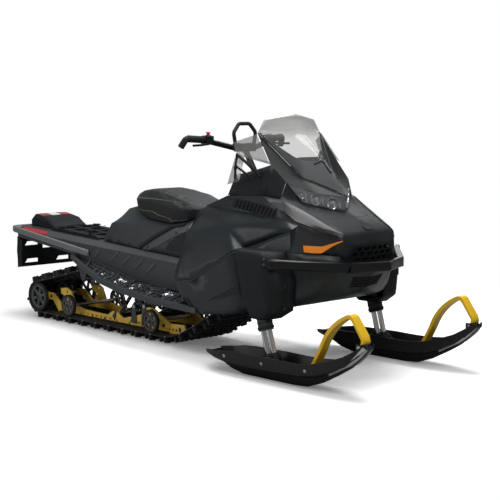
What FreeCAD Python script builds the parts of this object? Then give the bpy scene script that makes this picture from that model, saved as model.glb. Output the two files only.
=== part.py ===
import FreeCAD, Part
import Sketcher
import math
import os

# Utility snowmobile with a long wide track and two telescopic front legs.
# Millimetres and degrees. +X is forward, +Y is left, +Z is up, Z = 0 is the floor,
# and the origin is the middle of the machine's length and width.
# The right-hand side has negative Y; side is -1 there and +1 on the left.

Vector = FreeCAD.Vector
UP = Vector(0, 0, 1)
ACROSS = Vector(0, 1, 0)

SIZES = {
    # Overall stance
    "ski_stance_half": 406.5,
    "seat_clearance": 0.3,
    "running_clearance": 0.05,
    # Track loop
    "track_width": 406.0,
    "belt_thickness": 7.0,
    "lug_height": 38.0,
    "lug_thickness": 12.0,
    "lug_count": 61.0,
    "rear_idler_along": -1334.0,
    "rear_idler_radius": 89.0,
    "upper_idler_along": -823.0,
    "upper_idler_height": 300.0,
    "upper_idler_radius": 50.0,
    "drive_along": 298.5,
    "drive_height": 322.0,
    "drive_radius": 86.0,
    "front_curve_along": -150.0,
    "front_curve_radius": 468.0,
    # Running wheels
    "lower_wheel_radius": 66.0,
    "rear_wheel_along": -1022.0,
    "front_wheel_along": -238.0,
    "outer_wheel_side": 185.0,
    "small_wheel_radius": 42.0,
    "wheel_width": 22.0,
    "wheel_spokes": 6.0,
    "axle_radius": 10.0,
    "cross_tube_radius": 14.0,
    # Slide rails
    "rail_side": 118.0,
    "rail_thickness": 12.0,
    "rail_hole_radius": 9.0,
    # Tunnel
    "tunnel_half_width": 222.0,
    "tunnel_sheet": 4.0,
    "tunnel_rear": -1505.0,
    "tunnel_waist": -925.0,
    "tunnel_knee": -300.0,
    "tunnel_front": 330.0,
    "shoulder_rear": 541.0,
    "shoulder_waist": 511.3,
    "shoulder_knee": 479.3,
    "shoulder_front": 447.0,
    "deck_rise": 26.0,
    "deck_half_width": 184.0,
    "skirt_drop_rear": 42.0,
    "skirt_drop_waist": 74.0,
    "skirt_drop_knee": 160.0,
    "skirt_drop_front": 160.0,
    # Running boards
    "board_bar_height": 32.0,
    "board_bar_width": 24.0,
    "board_rung": 14.0,
    # Rear bumper, flap, lamp and rack
    "rear_bar_reach": 55.0,
    "rear_bar_width": 24.0,
    "rear_bar_height": 36.0,
    "flap_bottom": 305.0,
    "flap_thickness": 6.0,
    "lamp_half_width": 132.0,
    "rack_height": 19.0,
    "rack_spacing_along": 300.0,
    "rack_spacing_across": 260.0,
    "anchor_hole_radius": 9.0,
    "hitch_pin_radius": 9.5,
    "hitch_ear": 8.0,
    # Body panels
    "panel_wall": 4.0,
    "grille_pitch": 48.0,
    "louvre_pitch": 38.0,
    "louvre_count": 8.0,
    "nose_along": 1235.0,
    "nose_height": 648.0,
    "shield_top_along": 707.0,
    "shield_top_height": 1268.0,
    "shield_half_width": 226.0,
    "body_half_width": 415.0,
    "deflector_wall": 3.0,
    # Front legs
    "leg_foot_along": 945.0,
    "leg_pivot_height": 102.0,
    "leg_rake": 16.0,
    "leg_tube_radius": 14.0,
    "leg_tube_spacing": 41.0,
    "leg_sleeve_radius": 23.0,
    "leg_foot_top": 26.0,
    "sleeve_start": 138.0,
    "sleeve_end": 400.0,
    "trunnion_radius": 22.0,
    "trunnion_length": 90.0,
    "bearing_wall": 12.0,
    "pod_wall": 4.0,
    "ski_bolt_radius": 10.0,
    # Skis
    "ski_rear": 412.0,
    "ski_front": 615.0,
    "ski_keel_half_width": 10.0,
    "ski_half_width": 90.0,
    "ski_floor_half_width": 76.0,
    "ski_wall": 7.0,
    "ski_floor": 9.0,
    "ski_loop_width": 50.0,
    "ski_loop_thickness": 14.0,
    # Steering
    "column_along": 330.0,
    "column_height": 1085.0,
    "column_rake": 33.0,
    "column_length": 430.0,
    "bar_radius": 11.0,
    "grip_radius": 17.0,
    "post_radius": 16.0,
    "bar_half_width": 348.0,
    "post_clearance": 8.0,
    # Engine
    "engine_rear": 480.0,
    "engine_length": 300.0,
    "engine_half_width": 165.0,
    "engine_base": 440.0,
    "engine_height": 270.0,
    "bulkhead_plate": 14.0,
    # Front bumper
    "bumper_height": 46.0,
    "bumper_depth": 26.0,
    "bumper_drop": 100.0,
    "bumper_rise": 22.0,
    "bumper_ahead": 102.0,
}

doc = FreeCAD.newDocument("Snowmobile")
sheet = doc.addObject("Spreadsheet::Sheet", "Sizes")
for row, (alias, number) in enumerate(SIZES.items(), start=1):
    sheet.set("A%d" % row, alias)
    sheet.set("B%d" % row, str(number))
    sheet.setAlias("B%d" % row, alias)
doc.recompute()
finished = []


class Term:
    """A size, or arithmetic on sizes: its value now and the expression that binds it."""

    def __init__(self, value, text):
        self.value = float(value)
        self.text = text

    def __float__(self):
        return self.value

    def __add__(self, other):
        return Term(self.value + float(other), "(%s + %s)" % (self.text, text_of(other)))

    def __radd__(self, other):
        return Term(float(other) + self.value, "(%s + %s)" % (text_of(other), self.text))

    def __sub__(self, other):
        return Term(self.value - float(other), "(%s - %s)" % (self.text, text_of(other)))

    def __rsub__(self, other):
        return Term(float(other) - self.value, "(%s - %s)" % (text_of(other), self.text))

    def __mul__(self, other):
        return Term(self.value * float(other), "(%s * %s)" % (self.text, text_of(other)))

    def __rmul__(self, other):
        return Term(float(other) * self.value, "(%s * %s)" % (text_of(other), self.text))

    def __truediv__(self, other):
        return Term(self.value / float(other), "(%s / %s)" % (self.text, text_of(other)))

    def __neg__(self):
        return Term(-self.value, "(0 - %s)" % self.text)


def text_of(value):
    return value.text if isinstance(value, Term) else "(%r)" % round(float(value), 6)


def size(alias):
    """A driving size as the sheet holds it."""
    return Term(sheet.get(alias), "Sizes." + alias)


def bind(item, path, value):
    item.setExpression(path, text_of(value))


def keep(item, label):
    """Name a finished sub-part after its node."""
    item.Label = label
    finished.append(item)
    return item


def feature(label, shape):
    """A shape that neither a body nor a primitive fits."""
    item = doc.addObject("Part::Feature", label)
    item.Shape = shape
    item.Placement = FreeCAD.Placement()
    return item


def shape_of(label):
    return doc.getObject(label).Shape


def solids_of(shape):
    """The solids of a boolean result as one compound, or the one solid."""
    found = shape.Solids
    return found[0] if len(found) == 1 else Part.makeCompound(found)


def name_of(side):
    return "right" if side < 0 else "left"


# Bodies and sketches


def new_body(name):
    body = doc.addObject("PartDesign::Body", name)
    body.AllowCompound = True
    return body


def origin_of(body, role):
    return [item for item in body.Origin.OriginFeatures if item.Role == role][0]


def pin_point(sketch, index, position, place):
    """Hold a point of the sketch at a place given by sizes."""
    for kind, axis, value in (("DistanceX", -2, place[0]), ("DistanceY", -1, place[1])):
        if not isinstance(value, Term) and abs(value) < 1e-9:
            sketch.addConstraint(Sketcher.Constraint("PointOnObject", index, position, axis))
            continue
        held = sketch.addConstraint(Sketcher.Constraint(kind, -1, 1, index, position, float(value)))
        if isinstance(value, Term):
            bind(sketch, "Constraints[%d]" % held, value)


def flat(place):
    return Vector(float(place[0]), float(place[1]), 0)


def draw_outline(sketch, outline):
    """Closed outline; an entry of two places is an arc through the first to the second."""
    edges = []
    last = outline[0]
    entries = list(outline[1:])
    end = entries[-1][1] if isinstance(entries[-1][0], tuple) else entries[-1]
    if flat(end).distanceToPoint(flat(last)) > 1e-6:
        entries.append(last)
    for entry in entries:
        if isinstance(entry[0], tuple):
            through, end = entry
            a, b, c = flat(last), flat(through), flat(end)
            turns_left = (b - a).cross(c - b).z > 0
            arc = Part.ArcOfCircle(a, b, c) if turns_left else Part.ArcOfCircle(c, b, a)
            index = sketch.addGeometry(arc)
            point = sketch.addGeometry(Part.Point(b), True)
            pin_point(sketch, point, 1, through)
            sketch.addConstraint(Sketcher.Constraint("PointOnObject", point, 1, index))
            edges.append((index, 1 if turns_left else 2, 2 if turns_left else 1, last))
            last = end
        else:
            index = sketch.addGeometry(Part.LineSegment(flat(last), flat(entry)))
            edges.append((index, 1, 2, last))
            last = entry
    for (index, start, end, place), (after, begin, far, other) in zip(edges, edges[1:] + edges[:1]):
        sketch.addConstraint(Sketcher.Constraint("Coincident", index, end, after, begin))
        pin_point(sketch, index, start, place)


def new_sketch(body, role, offset=0.0):
    sketch = body.newObject("Sketcher::SketchObject", body.Name + "_sketch")
    sketch.AttachmentSupport = [(origin_of(body, role), "")]
    sketch.MapMode = "FlatFace"
    bind(sketch, "AttachmentOffset.Base.z", offset)
    return sketch


def profile(body, role, outlines, offset=0.0, circles=()):
    """Sketch of closed outlines and circles (along, up, radius) on an origin plane."""
    sketch = new_sketch(body, role, offset)
    for outline in outlines:
        draw_outline(sketch, outline)
    for along, height, radius in circles:
        index = sketch.addGeometry(Part.Circle(flat((along, height)), UP, float(radius)))
        pin_point(sketch, index, 3, (along, height))
        held = sketch.addConstraint(Sketcher.Constraint("Radius", index, float(radius)))
        bind(sketch, "Constraints[%d]" % held, radius)
    return sketch


def extrude(body, kind, sketch, length, both=False, back=False):
    """Pad or Pocket of a sketch; both sides of its plane, or back against its normal."""
    item = body.newObject("PartDesign::" + kind, body.Name + "_" + kind.lower())
    item.Profile = sketch
    if both:
        item.SideType = "Symmetric"
    item.Reversed = back
    bind(item, "Length", length)
    body.Tip = item
    return item


def plate(body, outlines, start, thickness, circles=(), kind="Pad"):
    """Side-view outline padded or cut from Y = start, thickness towards +Y."""
    sketch = profile(body, "XZ_Plane", outlines, -start, circles)
    return extrude(body, kind, sketch, thickness, back=(kind == "Pad"))


def bar_plate(body, outlines, width, circles=(), kind="Pad"):
    """Side-view outline padded or cut across the middle of the machine."""
    sketch = profile(body, "XZ_Plane", outlines, 0.0, circles)
    return extrude(body, kind, sketch, width, both=True)


def slab(body, outlines, start, thickness, circles=(), kind="Pad"):
    """Plan outline padded upwards from Z = start, or cut upwards from it."""
    sketch = profile(body, "XY_Plane", outlines, start, circles)
    return extrude(body, kind, sketch, thickness, back=(kind == "Pocket"))


def loft(body, role, sections, kind="AdditiveLoft"):
    """Ruled loft through (offset, outline) sections on parallel planes."""
    sketches = [profile(body, role, [outline], offset) for offset, outline in sections]
    item = body.newObject("PartDesign::" + kind, body.Name + "_loft")
    item.Profile = sketches[0]
    item.Sections = sketches[1:]
    item.Ruled = True
    body.Tip = item
    return item


def mirror_side(body, features):
    """The same features on the machine's other side."""
    item = body.newObject("PartDesign::Mirrored", body.Name + "_mirrored")
    item.Originals = features
    item.MirrorPlane = (origin_of(body, "XZ_Plane"), [""])
    body.Tip = item
    return item


# Primitives and booleans


def cylinder(name, radius, length, base, turn=None):
    """Cylinder from base along +Y, or along +Z turned about the Y axis by turn degrees."""
    item = doc.addObject("Part::Cylinder", name)
    bind(item, "Radius", radius)
    bind(item, "Height", length)
    if turn is None:
        item.Placement = FreeCAD.Placement(Vector(0, 0, 0), FreeCAD.Rotation(Vector(1, 0, 0), -90))
    else:
        item.Placement = FreeCAD.Placement(Vector(0, 0, 0), FreeCAD.Rotation(ACROSS, float(turn)))
        bind(item, "Placement.Rotation.Angle", turn)
    for letter, value in zip("xyz", base):
        bind(item, "Placement.Base." + letter, value)
    return item


def box(name, lengths, base):
    item = doc.addObject("Part::Box", name)
    for side, value in zip(("Length", "Width", "Height"), lengths):
        bind(item, side, value)
    for letter, value in zip("xyz", base):
        bind(item, "Placement.Base." + letter, value)
    return item


def fuse(name, items):
    item = doc.addObject("Part::MultiFuse", name)
    item.Shapes = items
    item.Refine = True
    return item


def cut(name, base, tool):
    item = doc.addObject("Part::Cut", name)
    item.Base = base
    item.Tool = tool
    item.Refine = True
    return item


def group(name, items):
    item = doc.addObject("Part::Compound", name)
    item.Links = items
    return item


def other_side(name, source):
    item = doc.addObject("Part::Mirroring", name)
    item.Source = source
    item.Base = Vector(0, 0, 0)
    item.Normal = ACROSS
    return item


def copy_at(name, source, place):
    """The same piece again at another place."""
    item = doc.addObject("App::Link", name)
    item.LinkedObject = source
    item.LinkTransform = False
    for letter, value in zip("xyz", place):
        bind(item, "Placement.Base." + letter, value)
    return item


# Bent bars


def rounded_path(points, radius):
    """Straight runs through the points, joined by tangent arcs."""
    edges = []
    last = points[0]
    for before, corner, after in zip(points, points[1:], points[2:]):
        back = (before - corner).normalize()
        ahead = (after - corner).normalize()
        half_turn = back.getAngle(ahead) / 2
        reach = radius / math.tan(half_turn)
        start = corner + back * reach
        end = corner + ahead * reach
        middle = (back + ahead).normalize()
        through = corner + middle * (radius / math.sin(half_turn) - radius)
        edges.append(Part.LineSegment(last, start).toShape())
        edges.append(Part.Arc(start, through, end).toShape())
        last = end
    edges.append(Part.LineSegment(last, points[-1]).toShape())
    return Part.Wire(edges)


def tube(points, bend, radius):
    """Round bar along a path with rounded corners."""
    path = rounded_path(points, bend)
    direction = (points[1] - points[0]).normalize()
    ring = Part.Wire([Part.Circle(points[0], direction, float(radius)).toShape()])
    return path.makePipeShell([ring], True, False)


# Thin faceted shells


def orient(facets, points, inside):
    """Turn the facets so that their normals point the same way over the whole skin, outwards."""
    def normal(facet):
        a, b, c = (points[name] for name in facet)
        return (b - a).cross(c - a)
    todo = [tuple(facet) for facet in facets]
    done = []
    while todo:
        seed = todo.pop(0)
        centre = (points[seed[0]] + points[seed[1]] + points[seed[2]]) / 3
        if normal(seed).dot(centre - inside) < 0:
            seed = seed[::-1]
        wave = [seed]
        done.append(seed)
        while wave:
            a, b, c = wave.pop()
            for edge in ((a, b), (b, c), (c, a)):
                for other in list(todo):
                    if edge[0] in other and edge[1] in other:
                        todo.remove(other)
                        index = other.index(edge[0])
                        if other[(index + 1) % 3] == edge[1]:
                            other = other[::-1]
                        wave.append(other)
                        done.append(other)
    return done


def inner_points(points, facets, wall):
    """Each corner moved inwards so that the skin is one wall thick."""
    normals = {name: [] for name in points}
    for facet in facets:
        a, b, c = (points[name] for name in facet)
        normal = (b - a).cross(c - a).normalize()
        for name in facet:
            normals[name].append(normal)
    inner = {}
    for name, around in normals.items():
        if around:
            mean = Vector(0, 0, 0)
            for normal in around:
                mean += normal
            mean.normalize()
            share = sum(mean.dot(normal) for normal in around) / len(around)
            inner[name] = points[name] - mean * (float(wall) / max(share, 0.6))
    return inner


def patches(facets):
    """Facets parted into sets that hang together along edges."""
    todo = list(facets)
    found = []
    while todo:
        patch = [todo.pop(0)]
        for facet in patch:
            for other in list(todo):
                if len(set(facet) & set(other)) == 2:
                    todo.remove(other)
                    patch.append(other)
        found.append(patch)
    return found


def shell(points, inner, facets):
    """Closed thin solid: the facets, the same facets one wall further in, and rims on free edges."""
    def triangle(a, b, c):
        return Part.Face(Part.makePolygon([a, b, c, a]))
    faces = []
    used = set()
    for a, b, c in facets:
        faces.append(triangle(points[a], points[b], points[c]))
        faces.append(triangle(inner[a], inner[c], inner[b]))
        used.update([(a, b), (b, c), (c, a)])
    for a, b in sorted(used):
        if (b, a) not in used:
            if a < b:
                faces.append(triangle(points[a], inner[a], inner[b]))
                faces.append(triangle(points[a], inner[b], points[b]))
            else:
                faces.append(triangle(points[a], inner[a], points[b]))
                faces.append(triangle(inner[a], inner[b], points[b]))
    sewn = Part.makeShell(faces)
    sewn.sewShape()
    solid = Part.makeSolid(sewn)
    if solid.Volume < 0:
        solid.reverse()
    return solid.removeSplitter()


def thin_sheet(corners, wall, inside):
    """Thin plate over a fan of corners; inside is a point behind it."""
    points = {"p%02d" % index: corner for index, corner in enumerate(corners)}
    names = sorted(points)
    facets = [(names[0], names[i], names[i + 1]) for i in range(1, len(names) - 1)]
    facets = orient(facets, points, inside)
    return shell(points, inner_points(points, facets, wall), facets)


# Track


def ground_run():
    """Height of the belt's inner face along the ground."""
    return size("belt_thickness") + size("lug_height")


def rail_level():
    """Height of what slides or rolls on the belt's inner face."""
    return ground_run() + size("seat_clearance")


def rear_axle_height():
    return rail_level() + size("rear_idler_radius")


def loop_circles():
    """The wheels and curve that the belt runs round, in running order."""
    gap = size("seat_clearance")
    return [
        (size("rear_idler_along"), rear_axle_height(), size("rear_idler_radius") + gap),
        (size("upper_idler_along"), size("upper_idler_height"), size("upper_idler_radius") + gap),
        (size("drive_along"), size("drive_height"), size("drive_radius") + gap),
        (size("front_curve_along"), rail_level() + size("front_curve_radius"), size("front_curve_radius") + gap),
    ]


def loop_runs(offset):
    """For each circle: centre, radius, and the angles where the belt meets and leaves it."""
    circles = [[float(value) for value in circle] for circle in loop_circles()]
    turns = []
    for index, (x0, z0, r0) in enumerate(circles):
        x1, z1, r1 = circles[(index + 1) % len(circles)]
        length = math.hypot(x1 - x0, z1 - z0)
        heading = math.atan2(z1 - z0, x1 - x0)
        turns.append(heading + math.pi / 2 - math.asin((r0 - r1) / length))
    runs = []
    for index, (x, z, radius) in enumerate(circles):
        first, last = turns[index - 1], turns[index]
        while last > first:
            last -= 2 * math.pi
        while last < first - 2 * math.pi:
            last += 2 * math.pi
        runs.append((x, z, radius + float(offset), first, last))
    return runs


def loop_point(x, z, radius, angle):
    return (x + radius * math.cos(angle), z + radius * math.sin(angle))


def draw_loop(sketch, offset):
    """Belt outline: arcs on the wheels' centres with tangent runs between them."""
    arcs, lines = [], []
    runs = loop_runs(offset)
    for index, (x, z, radius, first, last) in enumerate(runs):
        circle = Part.Circle(Vector(x, z, 0), UP, radius)
        arcs.append(sketch.addGeometry(Part.ArcOfCircle(circle, last, first)))
        nx, nz, nr, nfirst, nlast = runs[(index + 1) % len(runs)]
        start = flat(loop_point(x, z, radius, last))
        end = flat(loop_point(nx, nz, nr, nfirst))
        lines.append(sketch.addGeometry(Part.LineSegment(start, end)))
    count = len(runs)
    for index in range(count):
        sketch.addConstraint(Sketcher.Constraint("Tangent", arcs[index], 1, lines[index], 1))
        sketch.addConstraint(Sketcher.Constraint("Tangent", arcs[(index + 1) % count], 2, lines[index], 2))
    for arc, (along, height, radius) in zip(arcs, loop_circles()):
        pin_point(sketch, arc, 3, (along, height))
        held = sketch.addConstraint(Sketcher.Constraint("Radius", arc, float(radius) + float(offset)))
        bind(sketch, "Constraints[%d]" % held, radius + offset)


def loop_stations(offset, count):
    """Evenly spaced places round the loop: along, height and outward angle."""
    runs = loop_runs(offset)
    pieces = []
    for index, (x, z, radius, first, last) in enumerate(runs):
        pieces.append(("arc", radius * (first - last), (x, z, radius, first, last)))
        nx, nz, nr, nfirst, nlast = runs[(index + 1) % len(runs)]
        start = loop_point(x, z, radius, last)
        end = loop_point(nx, nz, nr, nfirst)
        pieces.append(("run", math.dist(start, end), (start, end, last)))
    total = sum(piece[1] for piece in pieces)
    stations = []
    for number in range(count):
        left = total * number / count
        for kind, length, data in pieces:
            if left <= length:
                break
            left -= length
        if kind == "arc":
            x, z, radius, first, last = data
            angle = first - left / radius
            stations.append(loop_point(x, z, radius, angle) + (angle,))
        else:
            start, end, angle = data
            share = left / length
            stations.append((start[0] + (end[0] - start[0]) * share,
                             start[1] + (end[1] - start[1]) * share, angle))
    return total, stations


def lug(station, start, width):
    """One paddle with a cut-back tip on the belt's outside, sunk a little into it."""
    x, z, angle = station
    half = float(size("lug_thickness")) / 2
    high = float(size("lug_height"))
    outline = [Vector(-2, 0, -half), Vector(high, 0, -half * 0.6), Vector(high, 0, half * 0.6), Vector(-2, 0, half)]
    paddle = Part.Face(Part.makePolygon(outline + outline[:1])).extrude(ACROSS * width)
    paddle.rotate(Vector(0, 0, 0), ACROSS, -math.degrees(angle))
    paddle.translate(Vector(x, start, z))
    return paddle


def make_track():
    outer = size("belt_thickness")
    body = new_body("track_belt")
    sketch = new_sketch(body, "XZ_Plane")
    draw_loop(sketch, outer)
    draw_loop(sketch, Term(0, "0"))
    extrude(body, "Pad", sketch, size("track_width"), both=True)
    total, stations = loop_stations(outer, int(float(size("lug_count"))))
    edge = float(size("track_width")) / 2
    third = 2 * edge / 3
    lugs = []
    for number, station in enumerate(stations):
        inset = 8 + 22 * (number % 2)
        lugs.append(lug(station, inset - edge, third - 14 - inset))
        lugs.append(lug(station, 10 - third / 2 - 8 * (number % 2), third - 20 + 16 * (number % 2)))
        lugs.append(lug(station, edge - third + 14, third - 14 - inset))
    print("track loop outside %.0f mm" % total)
    paddles = feature("track_lugs", Part.makeCompound(lugs))
    keep(fuse("track", [body, paddles]), "track")


# Wheels


def wheel(name, radius, windows):
    """Rubber-rimmed wheel about the Y axis at the origin: rim, windowed web, hub and bore."""
    body = new_body(name)
    half = size("wheel_width") / 2
    rim = radius * 0.84
    bore = size("axle_radius") + size("seat_clearance")
    hub = bore + 10
    web = half * 0.35
    outline = [(bore, -half), (hub, -half), (hub + 2, -web), (rim - 6, -web), (rim, -half), (radius, -half),
               (radius, half), (rim, half), (rim - 6, web), (hub + 2, web), (hub, half), (bore, half)]
    sketch = profile(body, "XY_Plane", [outline])
    turned = body.newObject("PartDesign::Revolution", name + "_turned")
    turned.Profile = sketch
    turned.ReferenceAxis = (sketch, ["V_Axis"])
    turned.Angle = 360
    body.Tip = turned
    inner = hub + 6
    outer = rim - 9
    spread = math.radians(360.0 / windows * 0.33)
    near, far = math.cos(spread), math.sin(spread)
    window = [(inner * near, -inner * far), (outer * near, -outer * far), (outer * near, outer * far),
              (inner * near, inner * far)]
    sketch = profile(body, "XZ_Plane", [window])
    pocket = extrude(body, "Pocket", sketch, size("wheel_width") * 2, both=True)
    pattern = body.newObject("PartDesign::PolarPattern", name + "_windows")
    pattern.Originals = [pocket]
    pattern.Axis = (origin_of(body, "Y_Axis"), [""])
    pattern.Angle = 360
    pattern.Occurrences = windows
    body.Tip = pattern
    return body


def wheel_rows():
    """Places of the wheels that run on the ground run, and of the small pairs above it."""
    low = rail_level() + size("lower_wheel_radius")
    front = size("front_wheel_along")
    return ([(size("rear_wheel_along"), low), (front, low)],
            [(front - 225, rail_level() + 118), (front - 132, rail_level() + 128)])


def make_wheels():
    spokes = int(float(size("wheel_spokes")))
    big = wheel("rear_wheel", size("rear_idler_radius"), spokes)
    low = wheel("ground_wheel", size("lower_wheel_radius"), spokes)
    small = wheel("small_wheel", size("small_wheel_radius"), 4)
    carrier = wheel("carrier_wheel", size("upper_idler_radius"), 4)
    lower, upper = wheel_rows()
    outer = size("outer_wheel_side")
    places = []
    for across in (-outer, Term(0, "0"), outer):
        places.append((big, size("rear_idler_along"), across, rear_axle_height()))
    for sign in (-1, 1):
        for along, height in lower:
            places.append((low, along, sign * outer, height))
        inner = sign * (size("rail_side") - size("rail_thickness") - size("wheel_width"))
        for along, height in upper:
            places.append((small, along, inner, height))
        beside = sign * (size("rail_side") + size("rail_thickness"))
        places.append((carrier, size("upper_idler_along"), beside, size("upper_idler_height")))
    doc.recompute()
    copies = []
    for source, along, across, height in places:
        copies.append(copy_at("wheel_copy", source, (along, across, height)))
    keep(group("idler_wheels", copies), "idler_wheels")


def make_shafts():
    """Cross shafts that carry the wheels and the rails."""
    radius = size("axle_radius")
    reach = size("outer_wheel_side") + size("wheel_width") / 2 + 6
    lower, upper = wheel_rows()
    shafts = []
    for along, height in [(size("rear_idler_along"), rear_axle_height())] + lower:
        shafts.append(cylinder("wide_shaft", radius, reach * 2, (along, -reach, height)))
    short = size("rail_side") + size("rail_thickness")
    for along, height in upper:
        shafts.append(cylinder("short_shaft", radius, short * 2, (along, -short, height)))
    wide = size("tunnel_half_width") - size("tunnel_sheet")
    shafts.append(cylinder("upper_shaft", radius, wide * 2,
                           (size("upper_idler_along"), -wide, size("upper_idler_height"))))
    keep(group("wheel_shafts", shafts), "wheel_shafts")


def make_drive_axle():
    """Drive axle with three toothed sprockets inside the front of the track."""
    body = new_body("drive_axle")
    wide = size("tunnel_half_width") - size("tunnel_sheet")
    root = size("drive_radius") - 18
    thick = 12.0
    outline = [(0.0, -wide), (16.0, -wide), (16.0, -142.0), (root, -142.0), (root, -142.0 + 2 * thick),
               (16.0, -142.0 + 2 * thick), (16.0, -thick), (root, -thick), (root, thick), (16.0, thick),
               (16.0, 142.0 - 2 * thick), (root, 142.0 - 2 * thick), (root, 142.0), (16.0, 142.0), (16.0, wide),
               (0.0, wide)]
    sketch = profile(body, "XY_Plane", [outline])
    turned = body.newObject("PartDesign::Revolution", "drive_turned")
    turned.Profile = sketch
    turned.ReferenceAxis = (sketch, ["V_Axis"])
    turned.Angle = 360
    body.Tip = turned
    tip = size("drive_radius") - size("seat_clearance")
    tooth = [(root - 4, -9.0), (tip, -6.0), (tip, 6.0), (root - 4, 9.0)]
    teeth = []
    for middle in (-130.0, 0.0, 130.0):
        sketch = profile(body, "XZ_Plane", [tooth], -middle)
        teeth.append(extrude(body, "Pad", sketch, 2 * thick, both=True))
    pattern = body.newObject("PartDesign::PolarPattern", "drive_teeth")
    pattern.Originals = teeth
    pattern.Axis = (origin_of(body, "Y_Axis"), [""])
    pattern.Angle = 360
    pattern.Occurrences = 8
    body.Tip = pattern
    bind(body, "Placement.Base.x", size("drive_along"))
    bind(body, "Placement.Base.z", size("drive_height"))
    keep(body, "drive_axle")


# Slide rails and suspension


def suspension_pivots():
    """Cross tubes of the suspension: two on the rails, two under the tunnel."""
    level = rail_level()
    return {
        "front_foot": (size("front_wheel_along") - 68, level + 78),
        "rear_foot": (size("front_wheel_along") - 410, level + 40),
        "front_top": (size("tunnel_front") - 310, level + 258),
        "rear_top": (size("tunnel_front") - 760, level + 300),
    }


def make_rails():
    level = rail_level()
    curve = size("front_curve_radius")
    start = size("front_curve_along")
    half_rise, rise = math.radians(9), math.radians(18)
    tip = (start + curve * math.sin(rise), level + curve * (1 - math.cos(rise)))
    mid = (start + curve * math.sin(half_rise), level + curve * (1 - math.cos(half_rise)))
    rear = size("rear_idler_along")
    axle = rear_axle_height()
    first = size("rear_wheel_along")
    front = size("front_wheel_along")
    outline = [
        (rear + 120, level), (start, level), (mid, tip), (tip[0] - 18, tip[1] + 40),
        (front + 90, level + 56), (front + 10, level + 96), (front - 60, level + 128),
        (front - 110, level + 126), (front - 150, level + 82), (front - 330, level + 36),
        (front - 385, level + 66), (front - 435, level + 66), (front - 480, level + 38), (first + 80, level + 44),
        (first - 20, level + 62), (first - 60, level + 140), (first - 105, level + 158),
        (first - 168, level + 150), (first - 165, level + 118), (first - 112, level + 96),
        (first - 150, level + 40), (rear + 60, axle + 22), (rear - 6, axle + 22), (rear - 26, axle),
        (rear - 6, axle - 22), (rear + 60, axle - 22),
    ]
    radius = size("axle_radius") + size("seat_clearance")
    lower, upper = wheel_rows()
    holes = [(along, height, radius) for along, height in lower]
    holes.append((rear, axle, radius))
    small = size("rail_hole_radius")
    for number in range(7):
        holes.append((first + 110 + 44 * number, level + 19, small))
    for number in range(4):
        holes.append((front - 150 - 36 * number, level + 26, small))
        holes.append((front + 92 + 28 * number, level + 24, small))
    holes.append((front - 88, level + 104, small))
    holes.append((first - 100, level + 132, small))
    tubes = size("cross_tube_radius") + size("seat_clearance")
    pivots = suspension_pivots()
    for name in ("front_foot", "rear_foot"):
        holes.append(pivots[name] + (tubes,))
    body = new_body("rails")
    half = size("rail_thickness") / 2
    pad = plate(body, [outline], size("rail_side") - half, size("rail_thickness"))
    sketch = profile(body, "XZ_Plane", [], -(size("rail_side") - half - 1), holes)
    pocket = extrude(body, "Pocket", sketch, size("rail_thickness") + 4, back=False)
    pocket.Reversed = False
    mirror_side(body, [pad, pocket])
    keep(body, "rails")
    return pocket


def make_small_wheel_brackets():
    """Arms from the rails up to the small wheels' shafts."""
    lower, upper = wheel_rows()
    level = rail_level()
    body = new_body("wheel_brackets")
    pads = []
    inside = size("rail_side") + size("rail_thickness") / 2
    for along, height in upper:
        outline = [(along - 26, level + 20), (along + 26, level + 20), (along + 15, height + 4),
                   (along + 8, height + 15), (along - 8, height + 15), (along - 15, height + 4)]
        pads.append(plate(body, [outline], inside, 6.0,))
        holes = [(along, height, size("axle_radius") + size("seat_clearance"))]
        pads.append(plate(body, [], inside - 2, 20.0, holes, kind="Pocket"))
    mirror_side(body, pads)
    return body


def make_suspension(brackets):
    """Arms and dampers between the cross tubes of rails and tunnel."""
    inside = size("rail_side") + size("rail_thickness")
    wide = size("tunnel_half_width") - size("tunnel_sheet")
    radius = size("cross_tube_radius")
    pivots = suspension_pivots()
    arms = []
    dampers = []
    for end in ("front", "rear"):
        top, foot = pivots[end + "_top"], pivots[end + "_foot"]
        pieces = [cylinder("top_tube", radius, wide * 2, (top[0], -wide, top[1])),
                  cylinder("foot_tube", radius, inside * 2, (foot[0], -inside, foot[1]))]
        reach = math.hypot(float(top[0]) - float(foot[0]), float(top[1]) - float(foot[1]))
        lean = math.degrees(math.atan2(float(top[0]) - float(foot[0]), float(top[1]) - float(foot[1])))
        for sign in (-1, 1):
            beam = sign * (size("rail_side") - size("rail_thickness") / 2 - 26)
            pieces.append(cylinder("arm_beam", 11.0, reach, (foot[0], beam, foot[1]), lean))
        arms.append(fuse(end + "_arm", pieces))
        gap = float(radius) + float(size("seat_clearance"))
        heading = Vector(math.sin(math.radians(lean)), 0, math.cos(math.radians(lean)))
        start = Vector(foot[0], 0, foot[1]) + heading * gap
        length = reach - 2 * gap
        lower = Part.makeCylinder(17, length * 0.62, start, heading)
        rod = Part.makeCylinder(7, length, start, heading)
        seat = Part.makeCylinder(27, 8, start + heading * (length - 22), heading)
        perch = Part.makeCylinder(27, 8, start + heading * (length * 0.3), heading)
        dampers.append(feature(end + "_damper", solids_of(lower.multiFuse([rod, seat, perch]))))
    keep(group("suspension_arms", arms + [brackets]), "suspension_arms")
    keep(group("dampers", dampers), "dampers")


# Tunnel, boards and rear end


def tunnel_stations():
    """Rear, waist, knee and front of the tunnel: along, shoulder height, skirt height."""
    return [(size("tunnel_" + name), size("shoulder_" + name), size("shoulder_" + name) - size("skirt_drop_" + name))
            for name in ("rear", "waist", "knee", "front")]


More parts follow.
